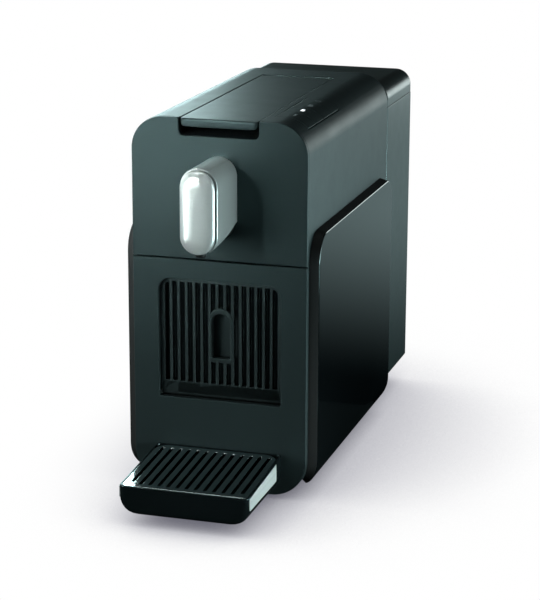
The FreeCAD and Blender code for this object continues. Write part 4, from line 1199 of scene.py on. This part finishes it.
TINT = (0.90, 1.0, 0.985)
COOL = (0.74, 0.99, 1.0)
LIGHTS = {
    "back_left_low": ((-0.42, 0.60, 0.40), (-0.04, -0.06, 0.25), 0.34, 0.20, 1.9, 180),
    "key_left": ((-0.62, -0.78, 0.28), (-0.03, -0.12, 0.20), 0.34, 0.34, 1.7, 180),
    "key_low_left": ((-0.60, -0.62, 0.10), (-0.05, -0.12, 0.12), 0.30, 0.20, 1.0, 180),
    "key_spot": ((-0.30, -0.75, 0.42), (-0.07, -0.11, 0.24), 0.14, 0.14, 0.085, 16),
    "spout_key": ((-0.42, -0.80, 0.26), (0.0, -0.155, 0.20), 0.16, 0.22, 0.0120, 8),
    "right_rear_low": ((0.62, 0.34, 0.02), (0.06, 0.04, 0.20), 0.50, 0.12, 2.3, 180),
    "right_side_low": ((0.60, -0.06, 0.02), (0.06, -0.05, 0.20), 0.26, 0.12, 1.6, 180),
    "right_graze": ((0.85, -0.21, 0.31), (0.012, -0.135, 0.20), 0.14, 0.14, 0.012, 16),
    "right_low": ((0.80, -0.36, 0.14), (0.0436, -0.15, 0.02), 0.12, 0.12, 0.06, 14),
    "left_side": ((-1.0, 0.10, 0.55), (-0.06, 0.05, 0.15), 0.60, 0.60, 3.2, 180),
    "rear": ((0.42, 1.25, 0.20), (0.03, 0.20, 0.14), 0.40, 0.24, 1.1, 180),
    "top_strip": ((-0.36, -0.50, 1.25), (0.0, -0.14, 0.05), 0.34, 0.20, 1.6, 180),
    "overhead": ((0.0, 0.10, 1.30), (0.0, 0.05, 0.2), 0.60, 0.60, 1.0, 180),
}
for nm, (loc, tgt, sx, sy, e, sp_) in LIGHTS.items():
    lo_ = area(nm, loc, tgt, sx, e, COOL if nm.startswith("right_rear") or nm.startswith("right_side") or nm.startswith("back") else TINT, size_y=sy, spread=sp_)
    lo_.visible_camera = False


def card(name, x0, x1, y0, y1, z, fade_from, fade_to, axis, strength):
    """Bright sheet lying flat, seen only in reflections; it fades in along one axis."""
    me = bpy.data.meshes.new(name)
    me.from_pydata([(x0, y0, z), (x1, y0, z), (x1, y1, z), (x0, y1, z)], [], [(0, 1, 2, 3)])
    ob = bpy.data.objects.new(name, me)
    bpy.context.scene.collection.objects.link(ob)
    m = bpy.data.materials.new(name)
    m.use_nodes = True
    nt = m.node_tree
    nt.nodes.clear()
    o = nt.nodes.new("ShaderNodeOutputMaterial")
    e = nt.nodes.new("ShaderNodeEmission")
    e.inputs["Color"].default_value = (*COOL, 1)
    tc = nt.nodes.new("ShaderNodeTexCoord")
    sp = nt.nodes.new("ShaderNodeSeparateXYZ")
    mr = nt.nodes.new("ShaderNodeMapRange")
    mr.interpolation_type = "SMOOTHSTEP"
    mr.inputs["From Min"].default_value = fade_from
    mr.inputs["From Max"].default_value = fade_to
    mr.inputs["To Min"].default_value = 0.0
    mr.inputs["To Max"].default_value = strength
    nt.links.new(tc.outputs["Object"], sp.inputs[0])
    nt.links.new(sp.outputs[axis], mr.inputs["Value"])
    nt.links.new(mr.outputs["Result"], e.inputs["Strength"])
    nt.links.new(e.outputs[0], o.inputs["Surface"])
    me.materials.append(m)
    ob.visible_camera = False
    ob.visible_shadow = False
    return ob


card("card_right", 0.0, 1.6, 0.10, 2.2, 0.002, 0.15, 0.80, "Y", 0.46)
card("card_line", 0.18, 0.95, -0.28, -0.13, 0.003, -0.28, -0.22, "Y", 2.2)
card("card_left", -1.6, -0.30, -0.9, 1.4, 0.002, -0.30, -0.85, "X", 0.35)
card("card_rear", -0.9, -0.1, 0.55, 2.2, 0.002, 0.55, 1.2, "Y", 0.18)
card("card_front", -1.1, 0.5, -1.6, -0.42, 0.002, -0.35, -0.95, "Y", 0.30)

# ------------------------------------------------------------------ camera
cam_data = bpy.data.cameras.new("camera")
cam = bpy.data.objects.new("camera", cam_data)
bpy.context.scene.collection.objects.link(cam)
bpy.context.scene.camera = cam
F_PX, YAW, PITCH_D, ROLL = 2090.73, 16.73, 15.20, 0.20
C = (410.69, -1250.94, 491.75)
cam_data.sensor_fit = "AUTO"
cam_data.sensor_width = 36.0
cam_data.lens = F_PX * 36.0 / 600.0
a, p, rl = math.radians(YAW), math.radians(PITCH_D), math.radians(ROLL)
fw = Vector((-math.sin(a), math.cos(a), 0))
rt = Vector((math.cos(a), math.sin(a), 0))
up = Vector((0, 0, 1))
F = fw * math.cos(p) - up * math.sin(p)
U = up * math.cos(p) + fw * math.sin(p)
Rv = rt * math.cos(rl) + U * math.sin(rl)
Uv = -rt * math.sin(rl) + U * math.cos(rl)
rot = Matrix((Rv, Uv, -F)).transposed()
cam.matrix_world = Matrix.Translation(Vector((C[0] * MM, C[1] * MM + FACE, C[2] * MM))) @ rot.to_4x4()
cam_data.clip_start = 0.05
cam_data.clip_end = 50

sc = bpy.context.scene
sc.view_settings.view_transform = "Standard"
sc.view_settings.look = "None"
sc.view_settings.exposure = 0.0
sc.view_settings.gamma = 1.0
